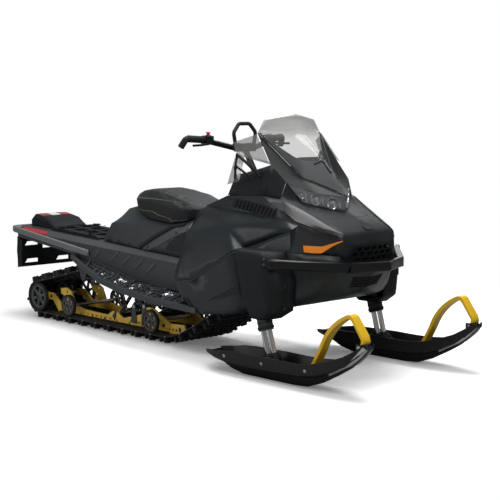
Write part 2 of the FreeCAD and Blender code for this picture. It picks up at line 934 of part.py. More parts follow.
def between(along, column):
    """Shoulder (1) or skirt (2) height of the tunnel at a place along it."""
    stations = tunnel_stations()
    pick = 0
    while pick < len(stations) - 2 and float(along) >= float(stations[pick + 1][0]):
        pick += 1
    first, second = stations[pick], stations[pick + 1]
    share = (along - first[0]) / (second[0] - first[0])
    return first[column] + (second[column] - first[column]) * share


def deck_height(along):
    return between(along, 1) + size("deck_rise")


def skirt_height(along):
    return between(along, 2)


def make_tunnel():
    wide, deck = size("tunnel_half_width"), size("deck_half_width")
    wall = size("tunnel_sheet")
    rise = size("deck_rise")
    outside, inside = [], []
    for index, (along, shoulder, skirt) in enumerate(tunnel_stations()):
        outside.append((along, [(-wide, skirt), (-wide, shoulder), (-deck, shoulder + rise),
                                (deck, shoulder + rise), (wide, shoulder), (wide, skirt)]))
        beyond = along + (-2, 0, 0, 2)[index]
        low = skirt - 20
        inner = wide - wall
        inside.append((beyond, [(-inner, low), (-inner, shoulder - wall * 0.4), (1 - deck, shoulder + rise - wall),
                                (deck - 1, shoulder + rise - wall), (inner, shoulder - wall * 0.4), (inner, low)]))
    body = new_body("tunnel")
    loft(body, "YZ_Plane", outside)
    loft(body, "YZ_Plane", inside, "SubtractiveLoft")
    pads = []
    pivots = suspension_pivots()
    hangers = [pivots["front_top"], pivots["rear_top"], (size("upper_idler_along"), size("upper_idler_height"))]
    for along, height in hangers:
        top = skirt_height(along) + 16
        outline = [(along - 70, top), (along + 70, top), (along + 18, height - 6), (along, height - 20),
                   (along - 18, height - 6)]
        pads.append(plate(body, [outline], wide - wall, wall))
    mirror_side(body, pads)
    level = deck_height(rack_middle()) + 40
    sketch = profile(body, "XY_Plane", [], level, [(x, y, size("anchor_hole_radius") + 3) for x, y in anchor_places()])
    extrude(body, "Pocket", sketch, 80.0)
    keep(body, "tunnel")


BOARD_LINE = [(-896, -246, 426), (-751, -285, 388), (-512, -335, 330), (-290, -365, 302), (13, -392, 280),
              (300, -400, 271), (388, -396, 268)]


def make_boards():
    """Outer bar and an open tread of slanted bars between it and the tunnel."""
    high, wide = float(size("board_bar_height")), float(size("board_bar_width"))
    wall = float(size("tunnel_half_width") + size("seat_clearance"))
    line = [Vector(*point) for point in BOARD_LINE]
    sections = []
    for point in line:
        ring = [point + Vector(0, -wide / 2, 6 - high / 2), point + Vector(0, 6 - wide / 2, -high / 2),
                point + Vector(0, wide / 2, -high / 2), point + Vector(0, wide / 2, high / 2),
                point + Vector(0, 6 - wide / 2, high / 2), point + Vector(0, -wide / 2, high / 2 - 6)]
        sections.append(Part.makePolygon(ring + ring[:1]))
    spans = [Part.makeLoft([a, b], True, True) for a, b in zip(sections, sections[1:])]
    bar = spans[0].multiFuse(spans[1:])
    rung = float(size("board_rung")) / 2

    def outer_at(along):
        for start, end in zip(line, line[1:]):
            if start.x <= along <= end.x:
                return start + (end - start) * ((along - start.x) / (end.x - start.x))
        return line[-1]
    rungs = []
    count = 14
    first, last = -705.0, 205.0
    for number in range(count):
        along = first + (last - first) * number / (count - 1)
        outer = outer_at(along)
        reach = min(along + (34 if number % 2 else -34), last)
        inner = Vector(reach, -wall, float(skirt_height(reach)) + 12)
        rings = []
        for point in (inner, outer):
            ring = [point + Vector(-rung, 0, -rung * 1.2), point + Vector(rung, 0, -rung * 1.2),
                    point + Vector(rung, 0, rung * 1.2), point + Vector(-rung, 0, rung * 1.2)]
            rings.append(Part.makePolygon(ring + ring[:1]))
        rungs.append(Part.makeLoft(rings, True, True))
    ends = [first - 44, float(size("tunnel_knee")), last + 12]
    for span in zip(ends, ends[1:]):
        rings = []
        for along in span:
            base = Vector(along, -wall, float(skirt_height(along)) + 12)
            ring = [base + Vector(0, 0, -10), base + Vector(0, -10, -10), base + Vector(0, -10, 10),
                    base + Vector(0, 0, 10)]
            rings.append(Part.makePolygon(ring + ring[:1]))
        rungs.append(Part.makeLoft(rings, True, True))
    tail = Part.makeBox(40, wall, 30, Vector(line[0].x - 6, -wall - wide, line[0].z - 15))
    tail = tail.common(Part.makeBox(60, wide, 60, Vector(line[0].x - 10, -wall - wide, line[0].z - 30)))
    right = feature("board_right", solids_of(bar.multiFuse(rungs + [tail])))
    left = other_side("board_left", right)
    keep(group("running_boards", [right, left]), "running_boards")


def make_rear_bumper():
    """Bar round the back of the tunnel, its arms slanting down along the tunnel's sides."""
    gap = size("seat_clearance")
    inner = size("tunnel_half_width") + gap
    outer = inner + size("rear_bar_width")
    back = size("tunnel_rear") - size("rear_bar_reach")
    high = size("rear_bar_height")
    wall = size("tunnel_rear") - gap
    end = size("tunnel_rear") + 750
    top = size("shoulder_rear") + 30
    body = new_body("rear_bumper")
    band = [(back - 10, top - high), (end, top - 96 - high), (end, top - 96), (back - 10, top)]
    bar_plate(body, [band], outer * 2 + 40)
    outline = [(back, 34 - inner), (back + 12, -8 - inner), (back + 42, -outer), (end - 30, -outer), (end, 6 - outer),
               (end, -inner), (wall, -inner), (wall, inner), (end, inner), (end, outer - 6), (end - 30, outer),
               (back + 42, outer), (back + 12, inner + 8), (back, inner - 34)]
    around = [(back - 60, -outer - 60), (end + 60, -outer - 60), (end + 60, outer + 60), (back - 60, outer + 60)]
    slot = [(back + 26, 44 - inner), (wall - 10, 44 - inner), (wall - 10, inner - 44), (back + 26, inner - 44)]
    sketch = profile(body, "XY_Plane", [around, outline], top - 260)
    extrude(body, "Pocket", sketch, 400.0, back=True)
    sketch = profile(body, "XY_Plane", [slot], top - 260)
    extrude(body, "Pocket", sketch, 400.0, back=True)
    keep(body, "rear_bumper")


def make_snow_flap():
    """Hanging flap with returned sides, four slots and a notch for the tow hitch."""
    gap = size("seat_clearance")
    along = size("tunnel_rear")
    top = skirt_height(along) - gap
    bottom = size("flap_bottom")
    wall = size("flap_thickness")
    half = size("tunnel_half_width")
    body = new_body("snow_flap")
    outline = [(-half, top), (-half - 6, top - 90), (2 - half, bottom), (half - 2, bottom), (half + 6, top - 90),
               (half, top), (36.0, top), (36.0, top - 84), (-36.0, top - 84), (-36.0, top)]
    extrude(body, "Pad", profile(body, "YZ_Plane", [outline], along), wall, back=True)
    slots = []
    for middle in (-118.0, 118.0):
        for base in (bottom + 24, top - 60):
            slots.append([(middle - 52, base), (middle + 44, base), (middle + 44, base + 24),
                          (middle - 34, base + 24)])
    sketch = profile(body, "YZ_Plane", slots, along)
    pocket = extrude(body, "Pocket", sketch, wall * 3, both=True)
    flank = [(along - wall, top), (along + 46, top - 20), (along + 40, bottom + 8), (along - wall, bottom)]
    pad = plate(body, [flank], half - 4, wall)
    mirror_side(body, [pad])
    keep(body, "snow_flap")


def make_rear_lamp():
    """Sloped box at the back of the deck with the tail lamp's lens in its rear face."""
    gap = size("seat_clearance")
    first, last = size("tunnel_rear") + 6, size("tunnel_rear") + 262
    lift, drop = deck_height(first) + gap, deck_height(last) + gap
    half = size("lamp_half_width")
    sections = []
    for along, low, high, wide in ((first, lift, 48.0, half - 10), (first + 40, deck_height(first + 40) + gap, 74.0, half),
                                   (last - 70, deck_height(last - 70) + gap, 58.0, half - 4), (last, drop, 22.0, half - 14)):
        sections.append((along, [(-wide, low), (-wide, low + high * 0.7), (16 - wide, low + high),
                                 (wide - 16, low + high), (wide, low + high * 0.7), (wide, low)]))
    body = new_body("tail_lamp")
    loft(body, "YZ_Plane", sections)
    keep(body, "tail_lamp")
    lens = new_body("tail_lens")
    outline = [(-86.0, lift + 8), (86.0, lift + 8), (74.0, lift + 38), (-74.0, lift + 38)]
    extrude(lens, "Pad", profile(lens, "YZ_Plane", [outline], first), 8.0, back=True)
    return lens


def make_reflectors(lens):
    """Tail lens, and red strips on the tunnel's flanks above the bumper's arms."""
    wide, gap, thick = size("tunnel_half_width"), size("seat_clearance"), 2.5
    slant = math.hypot(float(wide - size("deck_half_width")), float(size("deck_rise")))
    run = (wide - size("deck_half_width")) / slant
    rise = size("deck_rise") / slant
    body = new_body("side_strips")
    sections = []
    for along in (size("tunnel_rear") + 30, size("tunnel_rear") + 300):
        corners = []
        for far, lift in ((8, gap), (38, gap), (38, gap + thick), (8, gap + thick)):
            corners.append((run * far - rise * lift - wide, between(along, 1) + rise * far + run * lift))
        sections.append((along, corners))
    mirror_side(body, [loft(body, "YZ_Plane", sections)])
    keep(group("reflectors", [lens, body]), "reflectors")


def rack_ends():
    return size("tunnel_rear") + 266, size("tunnel_rear") + 745


def rack_middle():
    first, last = rack_ends()
    return (first + last) / 2


def anchor_places():
    """Centres of the rack's four anchor holes."""
    across = size("rack_spacing_across") / 2
    return [(rack_middle() + way * size("rack_spacing_along") / 2, side * across) for side in (-1, 1) for way in (-1, 1)]


def make_rack():
    """Flat rack on the tunnel: long rails, cross ribs and anchor bosses with holes."""
    gap = size("seat_clearance")
    first, last = rack_ends()
    high = size("rack_height")
    across = size("rack_spacing_across") / 2
    body = new_body("cargo_rack")
    low, end = deck_height(first) + gap, deck_height(last) + gap
    outline = [(first, low), (last, end), (last, end + high * 0.6), (last - 20, end + high), (first + 20, low + high),
               (first, low + high * 0.6)]
    bar_plate(body, [outline], across * 2 + 48)
    windows = []
    step = (last - first - 24) / 4
    for number in range(4):
        begin = first + step * number + 24
        stop = begin + step - 24
        for near, far in ((16.0, across - 24), (24 - across, -16.0)):
            windows.append([(begin, near), (stop, near), (stop, far), (begin, far)])
    sketch = profile(body, "XY_Plane", windows, end - 60)
    extrude(body, "Pocket", sketch, 200.0, back=True)
    level = deck_height(rack_middle()) + gap + 28
    spots = anchor_places()
    sketch = profile(body, "XY_Plane", [], level, [(x, y, Term(20, "20")) for x, y in spots])
    extrude(body, "Pad", sketch, 19.0, back=True)
    sketch = profile(body, "XY_Plane", [], level, [(x, y, size("anchor_hole_radius")) for x, y in spots])
    extrude(body, "Pocket", sketch, 80.0)
    keep(body, "cargo_rack")


def make_hitch():
    """Tow clevis at the back of the tunnel with a vertical pin bore."""
    back = size("tunnel_rear")
    ear = size("hitch_ear")
    level = skirt_height(back) - 4
    body = new_body("tow_hitch")
    outline = [(back + 46, -28.0), (back - 20, -28.0), ((back - 48, 0.0), (back - 20, 28.0)), (back + 46, 28.0)]
    for height in (level - 60, level - 16):
        slab(body, [outline], height, ear)
    roof = deck_height(back + 46) - size("tunnel_sheet") - size("seat_clearance")
    stem = [(back + 32, -28.0), (back + 46, -28.0), (back + 46, 28.0), (back + 32, 28.0)]
    slab(body, [stem], level - 60, roof - (level - 60))
    sketch = profile(body, "XY_Plane", [], level + 20, [(back - 22, 0.0, size("hitch_pin_radius"))])
    extrude(body, "Pocket", sketch, 120.0)
    keep(body, "tow_hitch")


# Seat and tank


def hex_section(low, low_half, middle, middle_half, top, top_half):
    return [(-low_half, low), (-middle_half, middle), (-top_half, top), (top_half, top), (middle_half, middle),
            (low_half, low)]


def make_seat():
    cushion = new_body("seat_cushion")
    sections = []
    for along, low, top, half in ((-492, 766, 784, 74), (-452, 738, 818, 112), (-385, 700, 838, 138),
                                  (-300, 676, 848, 152), (-190, 668, 838, 164), (-75, 664, 818, 172),
                                  (30, 690, 790, 150), (100, 726, 764, 80)):
        middle = low + (top - low) * 0.62
        sections.append((float(along), hex_section(float(low), half * 0.94, middle, float(half), float(top), half * 0.78)))
    loft(cushion, "YZ_Plane", sections)
    keep(cushion, "seat_cushion")
    block = new_body("seat_block")
    gap = size("seat_clearance")
    sections = []
    for along, low_half, middle, middle_half, top, top_half in (
            (-712, 150, 540, 148, 550, 118), (-632, 158, 636, 150, 662, 84), (-560, 164, 648, 152, 722, 74),
            (-430, 172, 648, 156, 750, 84), (-340, 180, 648, 160, 700, 112), (-60, 192, 650, 172, 672, 140),
            (72, 198, 650, 176, 704, 96)):
        sections.append((float(along), hex_section(deck_height(along) + gap, float(low_half), float(middle),
                                                   float(middle_half), float(top), float(top_half))))
    loft(block, "YZ_Plane", sections)
    keep(cut("seat_base", block, cushion), "seat_base")


def make_tank(opening):
    """Fuel tank and its cover between the seat and the handlebar."""
    body = new_body("tank_block")
    gap = size("seat_clearance")
    sections = []
    for along, low_half, middle, middle_half, top, top_half in (
            (73, 150, 650, 168, 752, 100), (250, 180, 700, 205, 802, 140), (326, 186, 720, 212, 818, 144),
            (466, 200, 740, 222, 846, 150)):
        low = deck_height(along) + gap if along < 330 else deck_height(326) + 90
        sections.append((float(along), hex_section(low, float(low_half), float(middle), float(middle_half),
                                                   float(top), float(top_half))))
    loft(body, "YZ_Plane", sections)
    trimmed = cut("tank_trimmed", body, doc.getObject("seat_cushion"))
    keep(cut("fuel_tank", trimmed, opening), "fuel_tank")


# Body skin


def body_points():
    """Corners of the body skin on the right-hand side; the left mirrors them."""
    nose, level = float(size("nose_along")), float(size("nose_height"))
    top, crown = float(size("shield_top_along")), float(size("shield_top_height"))
    shield = float(size("shield_half_width"))
    wide = float(size("body_half_width"))
    return {
        # windshield
        "c0": (top, 0, crown), "b0": (top + 17, 0, crown - 57), "c1": (top + 190, 0, crown - 228),
        "u0": (nose - 175, 0, 862), "et": (top - 47, -shield + 46, crown - 27),
        "ew": (top - 46, -shield, crown - 94), "e1": (856, -118, 957),
        # windshield support and lamp edges
        "f1": (773, -shield - 19, 1019), "l3": (861, -228, 937), "u1": (968, -111, 880),
        "l0": (nose - 185, 0, 795), "l1": (974, -92, 815), "l2": (913, -166, 838),
        # hood
        "n4": (nose - 95, 0, level + 108), "n5": (nose - 115, -120, level + 100),
        "n2": (nose - 23, 0, level + 58), "n3": (nose - 39, -140, level + 50),
        "n0": (nose, 0, level), "n1": (nose - 11, -156, level - 3),
        "g0": (nose - 10, 0, level - 90), "g1": (nose - 32, -160, level - 86),
        "P4": (854, -262, 857), "P3": (nose - 41, -190, level + 52), "Q4": (767, -300, 869),
        "Q5": (1005, -292, 738), "Q3": (nose - 45, -205, level - 48), "B2": (1000, -338, 610),
        # console
        "V0": (488, -268, 859), "V1": (500, -225, 960), "D0": (482, 0, 985), "F0": (800, 0, 1000),
        # side panel
        "A0": (292, -235, 796), "A1": (915, -300, 766), "A2": (991, -330, 715), "R1": (254, -250, 732),
        "R2": (234, -322, 660), "R3": (240, -352, 600), "R4": (237, -wide + 5, 455), "M1": (560, -350, 715),
        "S1": (237, -wide, 413), "S2": (383, -wide - 3, 433), "S3": (665, -405, 600), "S4": (700, -350, 612),
        # belly pan
        "T1": (271, -wide, 350), "T2": (361, -400, 269), "T3": (440, -388, 251), "T4": (700, -380, 283),
        "T5": (745, -345, 292), "j2": (1010, -325, 352), "j1": (1130, -235, 430), "j0": (nose - 40, -165, 512),
        "k0": (nose - 10, 0, 502), "k1": (1160, 0, 410), "k2": (1007, 0, 346), "k3": (750, 0, 300),
        "k4": (445, 0, 285),
    }


PANELS = {
    "windshield": "c0 et ew|c0 ew b0|b0 ew e1|b0 e1 c1|c1 e1 u0",
    "windshield_frame": "ew f1 e1|f1 l3 e1|e1 l3 u1|e1 u1 u0",
    "headlamps": "u0 u1 l1|u0 l1 l0|u1 l2 l1|u1 l3 l2",
    "hood": "l0 l1 n4|l1 n5 n4|n4 n5 n2|n5 n3 n2|n2 n3 n0|n3 n1 n0|l1 l2 n5|l3 P4 l2|l2 P4 P3|l2 P3 n5|"
            "n5 P3 n3|n3 P3 n1|P4 Q4 Q5|P4 Q5 P3|n1 P3 Q3|n1 Q3 g1|P3 Q5 Q3|Q5 B2 Q3|Q5 A2 B2",
    "nose_grille": "n0 n1 g1|n0 g1 g0",
    "console": "f1 V1 Q4|Q4 V1 V0|f1 l3 Q4|l3 P4 Q4|f1 F0 V1|F0 D0 V1",
    "side_panel": "A0 Q4 V0|A0 A1 Q4|Q4 A1 Q5|Q5 A1 A2|A0 R1 M1|R1 R2 M1|R2 R3 M1|R3 S3 M1|R3 S2 S3|R3 R4 S2|"
                  "R4 S1 S2|M1 S3 S4|M1 S4 A2|M1 A2 A1|M1 A1 A0",
    "belly_pan": "g0 g1 j0|g0 j0 k0|g1 Q3 j0|Q3 j1 j0|k0 j0 j1|k0 j1 k1|Q3 B2 j1|B2 j2 j1|k1 j1 j2|k1 j2 k2|"
                 "k2 j2 T5|k2 T5 k3|k3 T5 T4|k3 T4 T3|k3 T3 k4|A2 S4 B2|S4 j2 B2|S4 T5 j2|S4 T4 T5|S4 S3 T4|"
                 "S3 S2 T4|S2 T3 T4|S2 T2 T3|S2 T1 T2|S2 S1 T1",
}


def body_skin():
    """Both sides of the skin: corners, inner corners and the facets of each panel."""
    right = {name: Vector(*place) for name, place in body_points().items()}
    points = dict(right)
    for name, place in right.items():
        if abs(place.y) > 0.01:
            points[name + "_left"] = Vector(place.x, -place.y, place.z)

    def other(name):
        return name + "_left" if name + "_left" in points else name
    owner = {}
    for panel, listed in PANELS.items():
        for text in listed.split("|"):
            facet = tuple(text.split())
            twin = tuple(other(name) for name in facet)
            if panel == "side_panel":
                owner[frozenset(facet)] = panel + "_right"
                owner[frozenset(twin)] = panel + "_left"
            else:
                owner[frozenset(facet)] = panel
                owner[frozenset(twin)] = panel
    facets = [tuple(sorted(corners)) for corners in owner]
    facets = orient(facets, points, Vector(760, 0, 640))
    inner = inner_points(points, facets, size("panel_wall"))
    groups = {}
    for facet in facets:
        groups.setdefault(owner[frozenset(facet)], []).append(facet)
    return points, inner, groups


def grille_openings():
    """Flat hexagons through the nose grille, and slots through the lip below the bumper."""
    pitch = size("grille_pitch")
    rows = []
    for row, (height, places) in enumerate(((-20, (-2, -1, 0, 1, 2)), (-45, (-2.5, -1.5, -0.5, 0.5, 1.5, 2.5)),
                                            (-70, (-2, -1, 0, 1, 2)))):
        for place in places:
            y, z = pitch * place, size("nose_height") + height
            wide, high = pitch * 0.43, pitch * 0.19
            rows.append([(y - wide, z), (y - wide * 0.6, z - high), (y + wide * 0.6, z - high), (y + wide, z),
                         (y + wide * 0.6, z + high), (y - wide * 0.6, z + high)])
    mesh = new_body("grille_mesh")
    extrude(mesh, "Pad", profile(mesh, "YZ_Plane", rows, size("nose_along") - 70), 140.0)
    slots = []
    for drop in (164, 184, 204):
        for place in (-1.5, -0.5, 0.5, 1.5):
            y, z = pitch * place, size("nose_height") - drop
            slots.append([(y - pitch * 0.42, z - 5), (y + pitch * 0.42, z - 5), (y + pitch * 0.42, z + 5),
                          (y - pitch * 0.42, z + 5)])
    lip = new_body("lip_slots")
    extrude(lip, "Pad", profile(lip, "YZ_Plane", slots, size("nose_along") - 120), 140.0)
    return mesh, lip


def louvre_slots():
    """Slanted slots through the band along the top of each side panel."""
    pitch = size("louvre_pitch")
    slots = []
    for number in range(int(float(size("louvre_count")))):
        low, high = 812 - 7 * number, 839 - 5 * number
        begin = 545 + pitch * number
        slots.append([(begin, low), (begin + pitch * 0.5, low), (begin + pitch * 1.1, high), (begin + pitch * 0.6, high)])
    body = new_body("louvre_cutter")
    pad = plate(body, slots, 210.0, Term(120, "120"))
    mirror_side(body, [pad])
    return body


def make_body(opening):
    points, inner, groups = body_skin()
    skins = {}
    for panel in sorted(groups):
        solids = [shell(points, inner, patch) for patch in patches(groups[panel])]
        skins[panel] = feature(panel + "_skin", solids[0] if len(solids) == 1 else Part.makeCompound(solids))
    for panel in ("windshield", "windshield_frame", "headlamps", "hood"):
        keep(skins[panel], panel)
    mesh, lip = grille_openings()
    keep(cut("nose_grille", skins["nose_grille"], mesh), "nose_grille")
    boards = doc.getObject("running_boards")
    louvres = louvre_slots()
    for panel, openings in (("side_panel_right", louvres), ("side_panel_left", louvres), ("belly_pan", lip)):
        opened = cut(panel + "_opened", skins[panel], openings)
        keep(cut(panel, opened, boards), panel)
    clear = cut("console_clear", skins["console"], opening)
    around = group("console_neighbours", [skins["windshield_frame"], skins["windshield"], skins["headlamps"]])
    keep(cut("console", clear, around), "console")
    keepout = []
    for panel in ("belly_pan", "side_panel_right", "hood"):
        for facet in groups[panel]:
            a, b, c = (points[name] for name in facet)
            face = Part.Face(Part.makePolygon([a, b, c, a]))
            if max(a.x, b.x, c.x) > 640 and max(a.y, b.y, c.y) < -100 and abs(face.normalAt(0, 0).y) > 0.05:
                keepout.append(face.extrude(ACROSS * 120))
    return feature("body_inside", keepout[0].multiFuse(keepout[1:]))


# Front legs


def leg_base():
    return size("leg_foot_along"), size("leg_pivot_height")


def set_on_leg(item, side, distance=0.0):
    """Stand an upright piece on the leg's raked line, a distance up along it."""
    rake = size("leg_rake")
    item.Placement = FreeCAD.Placement(Vector(0, 0, 0), FreeCAD.Rotation(ACROSS, -float(rake)))
    bind(item, "Placement.Rotation.Angle", -rake)
    tilt = math.radians(float(rake))
    along, height = leg_base()
    bind(item, "Placement.Base.x", Term(float(along) - float(distance) * math.sin(tilt),
                                        "%s - %s * sin(%s)" % (along.text, text_of(distance), rake.text)))
    bind(item, "Placement.Base.y", side * size("ski_stance_half"))
    bind(item, "Placement.Base.z", Term(float(height) + float(distance) * math.cos(tilt),
                                        "%s + %s * cos(%s)" % (height.text, text_of(distance), rake.text)))
    return item


def upright(name, radius, length, side, distance, ahead=0.0):
    """Cylinder along the leg, in the leg's own frame."""
    body = new_body(name)
    sketch = profile(body, "XY_Plane", [], distance, [(ahead, 0.0, radius)])
    extrude(body, "Pad", sketch, length)
    return set_on_leg(body, side)


def oval(radius):
    """Section round both tubes, in the leg's own frame."""
    half = size("leg_tube_spacing") / 2
    return [(-half, -radius), (half, -radius), ((half + radius, 0.0), (half, radius)), (-half, radius),
            ((-half - radius, 0.0), (-half, -radius))]


def make_legs(inside):
    start, end = size("sleeve_start"), size("sleeve_end")
    foot = size("leg_foot_top")
    for side in (-1, 1):
        where = name_of(side)
        half = size("leg_tube_spacing") / 2
        tubes = [upright("tube_%s" % where, size("leg_tube_radius"), start - foot, side, foot, way * half)
                 for way in (-1, 1)]
        keep(group("leg_tubes_%s" % where, tubes), "leg_tubes_%s" % where)
        sleeve = new_body("sleeve_%s" % where)
        extrude(sleeve, "Pad", profile(sleeve, "XY_Plane", [oval(size("leg_sleeve_radius"))], start), end - start)
        sketch = profile(sleeve, "XY_Plane", [], end, [(0.0, 0.0, size("trunnion_radius"))])
        extrude(sleeve, "Pad", sketch, size("trunnion_length"))
        set_on_leg(sleeve, side)
        knuckle = new_body("knuckle_%s" % where)
        rise = Term(-13, "(-13)")
        extrude(knuckle, "Pad", profile(knuckle, "XY_Plane", [oval(size("leg_sleeve_radius") - 1)], rise), foot + 13)
        bore = profile(knuckle, "XZ_Plane", [], 0.0, [(0.0, 0.0, size("ski_bolt_radius") + size("running_clearance"))])
        extrude(knuckle, "Pocket", bore, 100.0, both=True)
        set_on_leg(knuckle, side)
        keep(group("leg_sleeve_%s" % where, [sleeve, knuckle]), "leg_sleeve_%s" % where)
        make_ski(side)
    make_pods(inside)
    make_bearings(inside)


def pod_ring(rear, front, inside, outside, chamfer):
    """Plan section of a leg pod at one height, right-hand side."""
    return [(rear, -inside), (front, -inside), (front, chamfer - outside), (front - chamfer * 1.4, -outside),
            (rear + chamfer * 1.6, -outside), (rear, chamfer - outside)]


def make_pods(inside):
    wall = size("pod_wall")
    reach = size("ski_stance_half") - 406.5
    foot = size("leg_foot_along")
    levels = [(292.0, foot - 112, foot + 4, 348.0, 464.0, 24.0), (335.0, foot - 152, foot + 68, 330.0, 466.0, 28.0),
              (470.0, foot - 203, foot + 81, 330.0, 472.0, 34.0), (616.0, foot - 253, foot + 27, 330.0, 464.0, 40.0)]
    body = new_body("pod_shell")
    outer, hollow = [], []
    for number, (height, rear, front, deep, out, chamfer) in enumerate(levels):
        outer.append((height, pod_ring(rear, front, deep, out + reach, chamfer)))
        level = (height - 2, height, height, height - wall)[number]
        shut = wall if number == 0 else -20
        hollow.append((level, pod_ring(rear + wall, front - wall, deep + shut, out + reach - wall, chamfer)))
    loft(body, "XY_Plane", outer)
    loft(body, "XY_Plane", hollow, "SubtractiveLoft")
    right = cut("pod_right", body, inside)
    left = other_side("pod_left", right)
    keep(group("leg_shrouds", [right, left]), "leg_shrouds")


def make_bearings(inside):
    """Housings that the legs turn in, each with an arm to the body's flank."""
    start = size("sleeve_end") + 6
    length = size("trunnion_length") - 12
    body = new_body("bearing_block")
    outer = size("trunnion_radius") + size("bearing_wall")
    extrude(body, "Pad", profile(body, "XY_Plane", [], start, [(0.0, 0.0, outer)]), length)
    arm = [(-26.0, 0.0), (26.0, 0.0), (26.0, 80.0), (-26.0, 80.0)]
    extrude(body, "Pad", profile(body, "XY_Plane", [arm], start + 8), length - 16)
    bore = profile(body, "XY_Plane", [], start + length + 10,
                   [(0.0, 0.0, size("trunnion_radius") + size("running_clearance"))])
    extrude(body, "Pocket", bore, length + 40)
    set_on_leg(body, -1)
    right = cut("bearing_right", body, inside)
    left = other_side("bearing_left", right)
    keep(group("leg_bearings", [right, left]), "leg_bearings")


# Skis


SKI_STATIONS = [
    # along from the leg, edge height, edge half width share, rim height, rim half width share, keel height
    (-345.0, 70.0, 0.86, 108.0, 0.90, 46.0), (-277.0, 62.0, 0.98, 119.0, 0.99, 18.0), (-190.0, 59.0, 1.0, 124.0, 1.0, 0.0),
    (-80.0, 58.0, 1.0, 126.0, 1.0, 0.0), (20.0, 59.0, 1.0, 128.0, 1.0, 0.0), (150.0, 63.0, 1.0, 126.0, 1.0, 0.0),
    (245.0, 68.0, 1.0, 127.0, 1.0, 6.0), (330.0, 80.0, 0.98, 136.0, 0.97, 36.0), (425.0, 108.0, 0.92, 162.0, 0.90, 84.0),
    (508.0, 146.0, 0.78, 192.0, 0.76, 132.0), (575.0, 196.0, 0.54, 232.0, 0.50, 188.0),
]


def ski_section(across, edge, edge_half, rim, rim_half, keel):
    wall, thick, slim = size("ski_wall"), size("ski_floor"), size("ski_keel_half_width")
    low = edge - (edge - keel) * 0.3
    return [(across - rim_half, rim), (across - edge_half, edge), (across - slim * 2, low), (across - slim, keel),
            (across + slim, keel), (across + slim * 2, low), (across + edge_half, edge),
            (across + rim_half, rim), (across + rim_half - wall, rim), (across + edge_half - wall * 0.8, edge + thick),
            (across - edge_half + wall * 0.8, edge + thick), (across - rim_half + wall, rim)]


def make_ski(side):
    where = name_of(side)
    foot = size("leg_foot_along")
    across = side * size("ski_stance_half")
    wide, floor_half = size("ski_half_width"), size("ski_floor_half_width")
    body = new_body("ski_%s" % where)
    sections = [(foot - size("ski_rear"), ski_section(across, 84.0, floor_half * 0.66, 102.0, wide * 0.64, 78.0))]
    for along, edge, edge_share, rim, rim_share, keel in SKI_STATIONS:
        sections.append((foot + along, ski_section(across, edge, floor_half * edge_share, rim, wide * rim_share, keel)))
    sections.append((foot + size("ski_front"), ski_section(across, 236.0, floor_half * 0.32, 258.0, wide * 0.28, 231.0)))
    loft(body, "YZ_Plane", sections)
    pivot = size("leg_pivot_height")
    floor = size("ski_floor")
    ear = [(foot - 92, floor + 58), (foot + 92, floor + 58), (foot + 30, pivot + 14), ((foot, pivot + 22), (foot - 30, pivot + 14))]
    gap = size("leg_sleeve_radius") + 1.5
    for start in (across - gap - 9, across + gap):
        plate(body, [ear], start, Term(9, "9"))
    bolt = profile(body, "XZ_Plane", [], -across, [(foot, pivot, size("ski_bolt_radius"))])
    extrude(body, "Pad", bolt, gap * 2 + 26, both=True)
    tip = [(foot + 548, 186.0), (foot + 600, 234.0), (foot + 592, 256.0), (foot + 546, 210.0)]
    plate(body, [tip], across - 26, Term(52, "52"))
    keep(body, "ski_%s" % where)
    loop = new_body("loop_%s" % where)
    thick = size("ski_loop_thickness")
    outline = [(foot + 272, floor + 66), (foot + 272, 112.0), (foot + 328, 204.0),
               ((foot + 392, 306.0), (foot + 486, 371.0)), ((foot + 510, 376.0), (foot + 530, 366.0)),
               (foot + 590, 290.0), (foot + 598, 266.0), (foot + 584, 232.0), (foot + 566, 212.0),
               (foot + 580, 266.0), (foot + 575, 280.0), (foot + 520, 351.0),
               ((foot + 508, 359.0), (foot + 492, 356.0)), ((foot + 406, 294.0), (foot + 344, 198.0)),
               (foot + 292, 106.0), (foot + 292, floor + 68)]
    start = across - size("ski_loop_width") / 2
    plate(loop, [outline], start, size("ski_loop_width"))
    keep(cut("ski_loop_%s" % where, loop, body), "ski_loop_%s" % where)


# Front bumper, deflectors, engine and steering


def make_bumper():
    depth = size("bumper_depth")
    nose = size("nose_along") + size("bumper_ahead")
    level = size("nose_height") - size("bumper_drop")
    high = size("bumper_height")
    arm = [(nose - 81, -195.0), (nose - 294, -424.0), (nose - 340, -482.0), (nose - 362, -470.0), (nose - 327, -436.0),
           (nose - 327, -410.0), (nose - 97, -195 + depth)]
    outline = [(nose, 0.0)] + arm + [(nose - depth * 1.15, 0.0)] + [(along, -across) for along, across in arm[::-1]]
    body = new_body("bumper_bar")
    rise = size("bumper_rise")
    slab(body, [outline], level - high / 2, high + rise)
    crest, sole = level + high / 2, level - high / 2
    bar_plate(body, [[(nose - 100, crest), (nose - 380, crest + rise), (nose - 380, crest + rise + 40),
                      (nose + 20, crest + rise + 40), (nose + 20, crest)]], 1200.0, kind="Pocket")
    bar_plate(body, [[(nose - 100, sole), (nose - 380, sole + rise), (nose - 380, sole - 20), (nose - 100, sole - 20)]],
              1200.0, kind="Pocket")
    back = size("nose_along") - 20
    stays = [(nose - 30, -62.0), (back, -62.0), (back + 2, -38.0), (nose - 30, -38.0)]
    twins = [(along, -across) for along, across in stays]
    slab(body, [stays, twins], level - 7, Term(14, "14"))
    around = group("bumper_neighbours", [doc.getObject("leg_shrouds"), doc.getObject("belly_pan"),
                                         doc.getObject("hood_skin"), doc.getObject("nose_grille_skin")])
    keep(cut("front_bumper", body, around), "front_bumper")


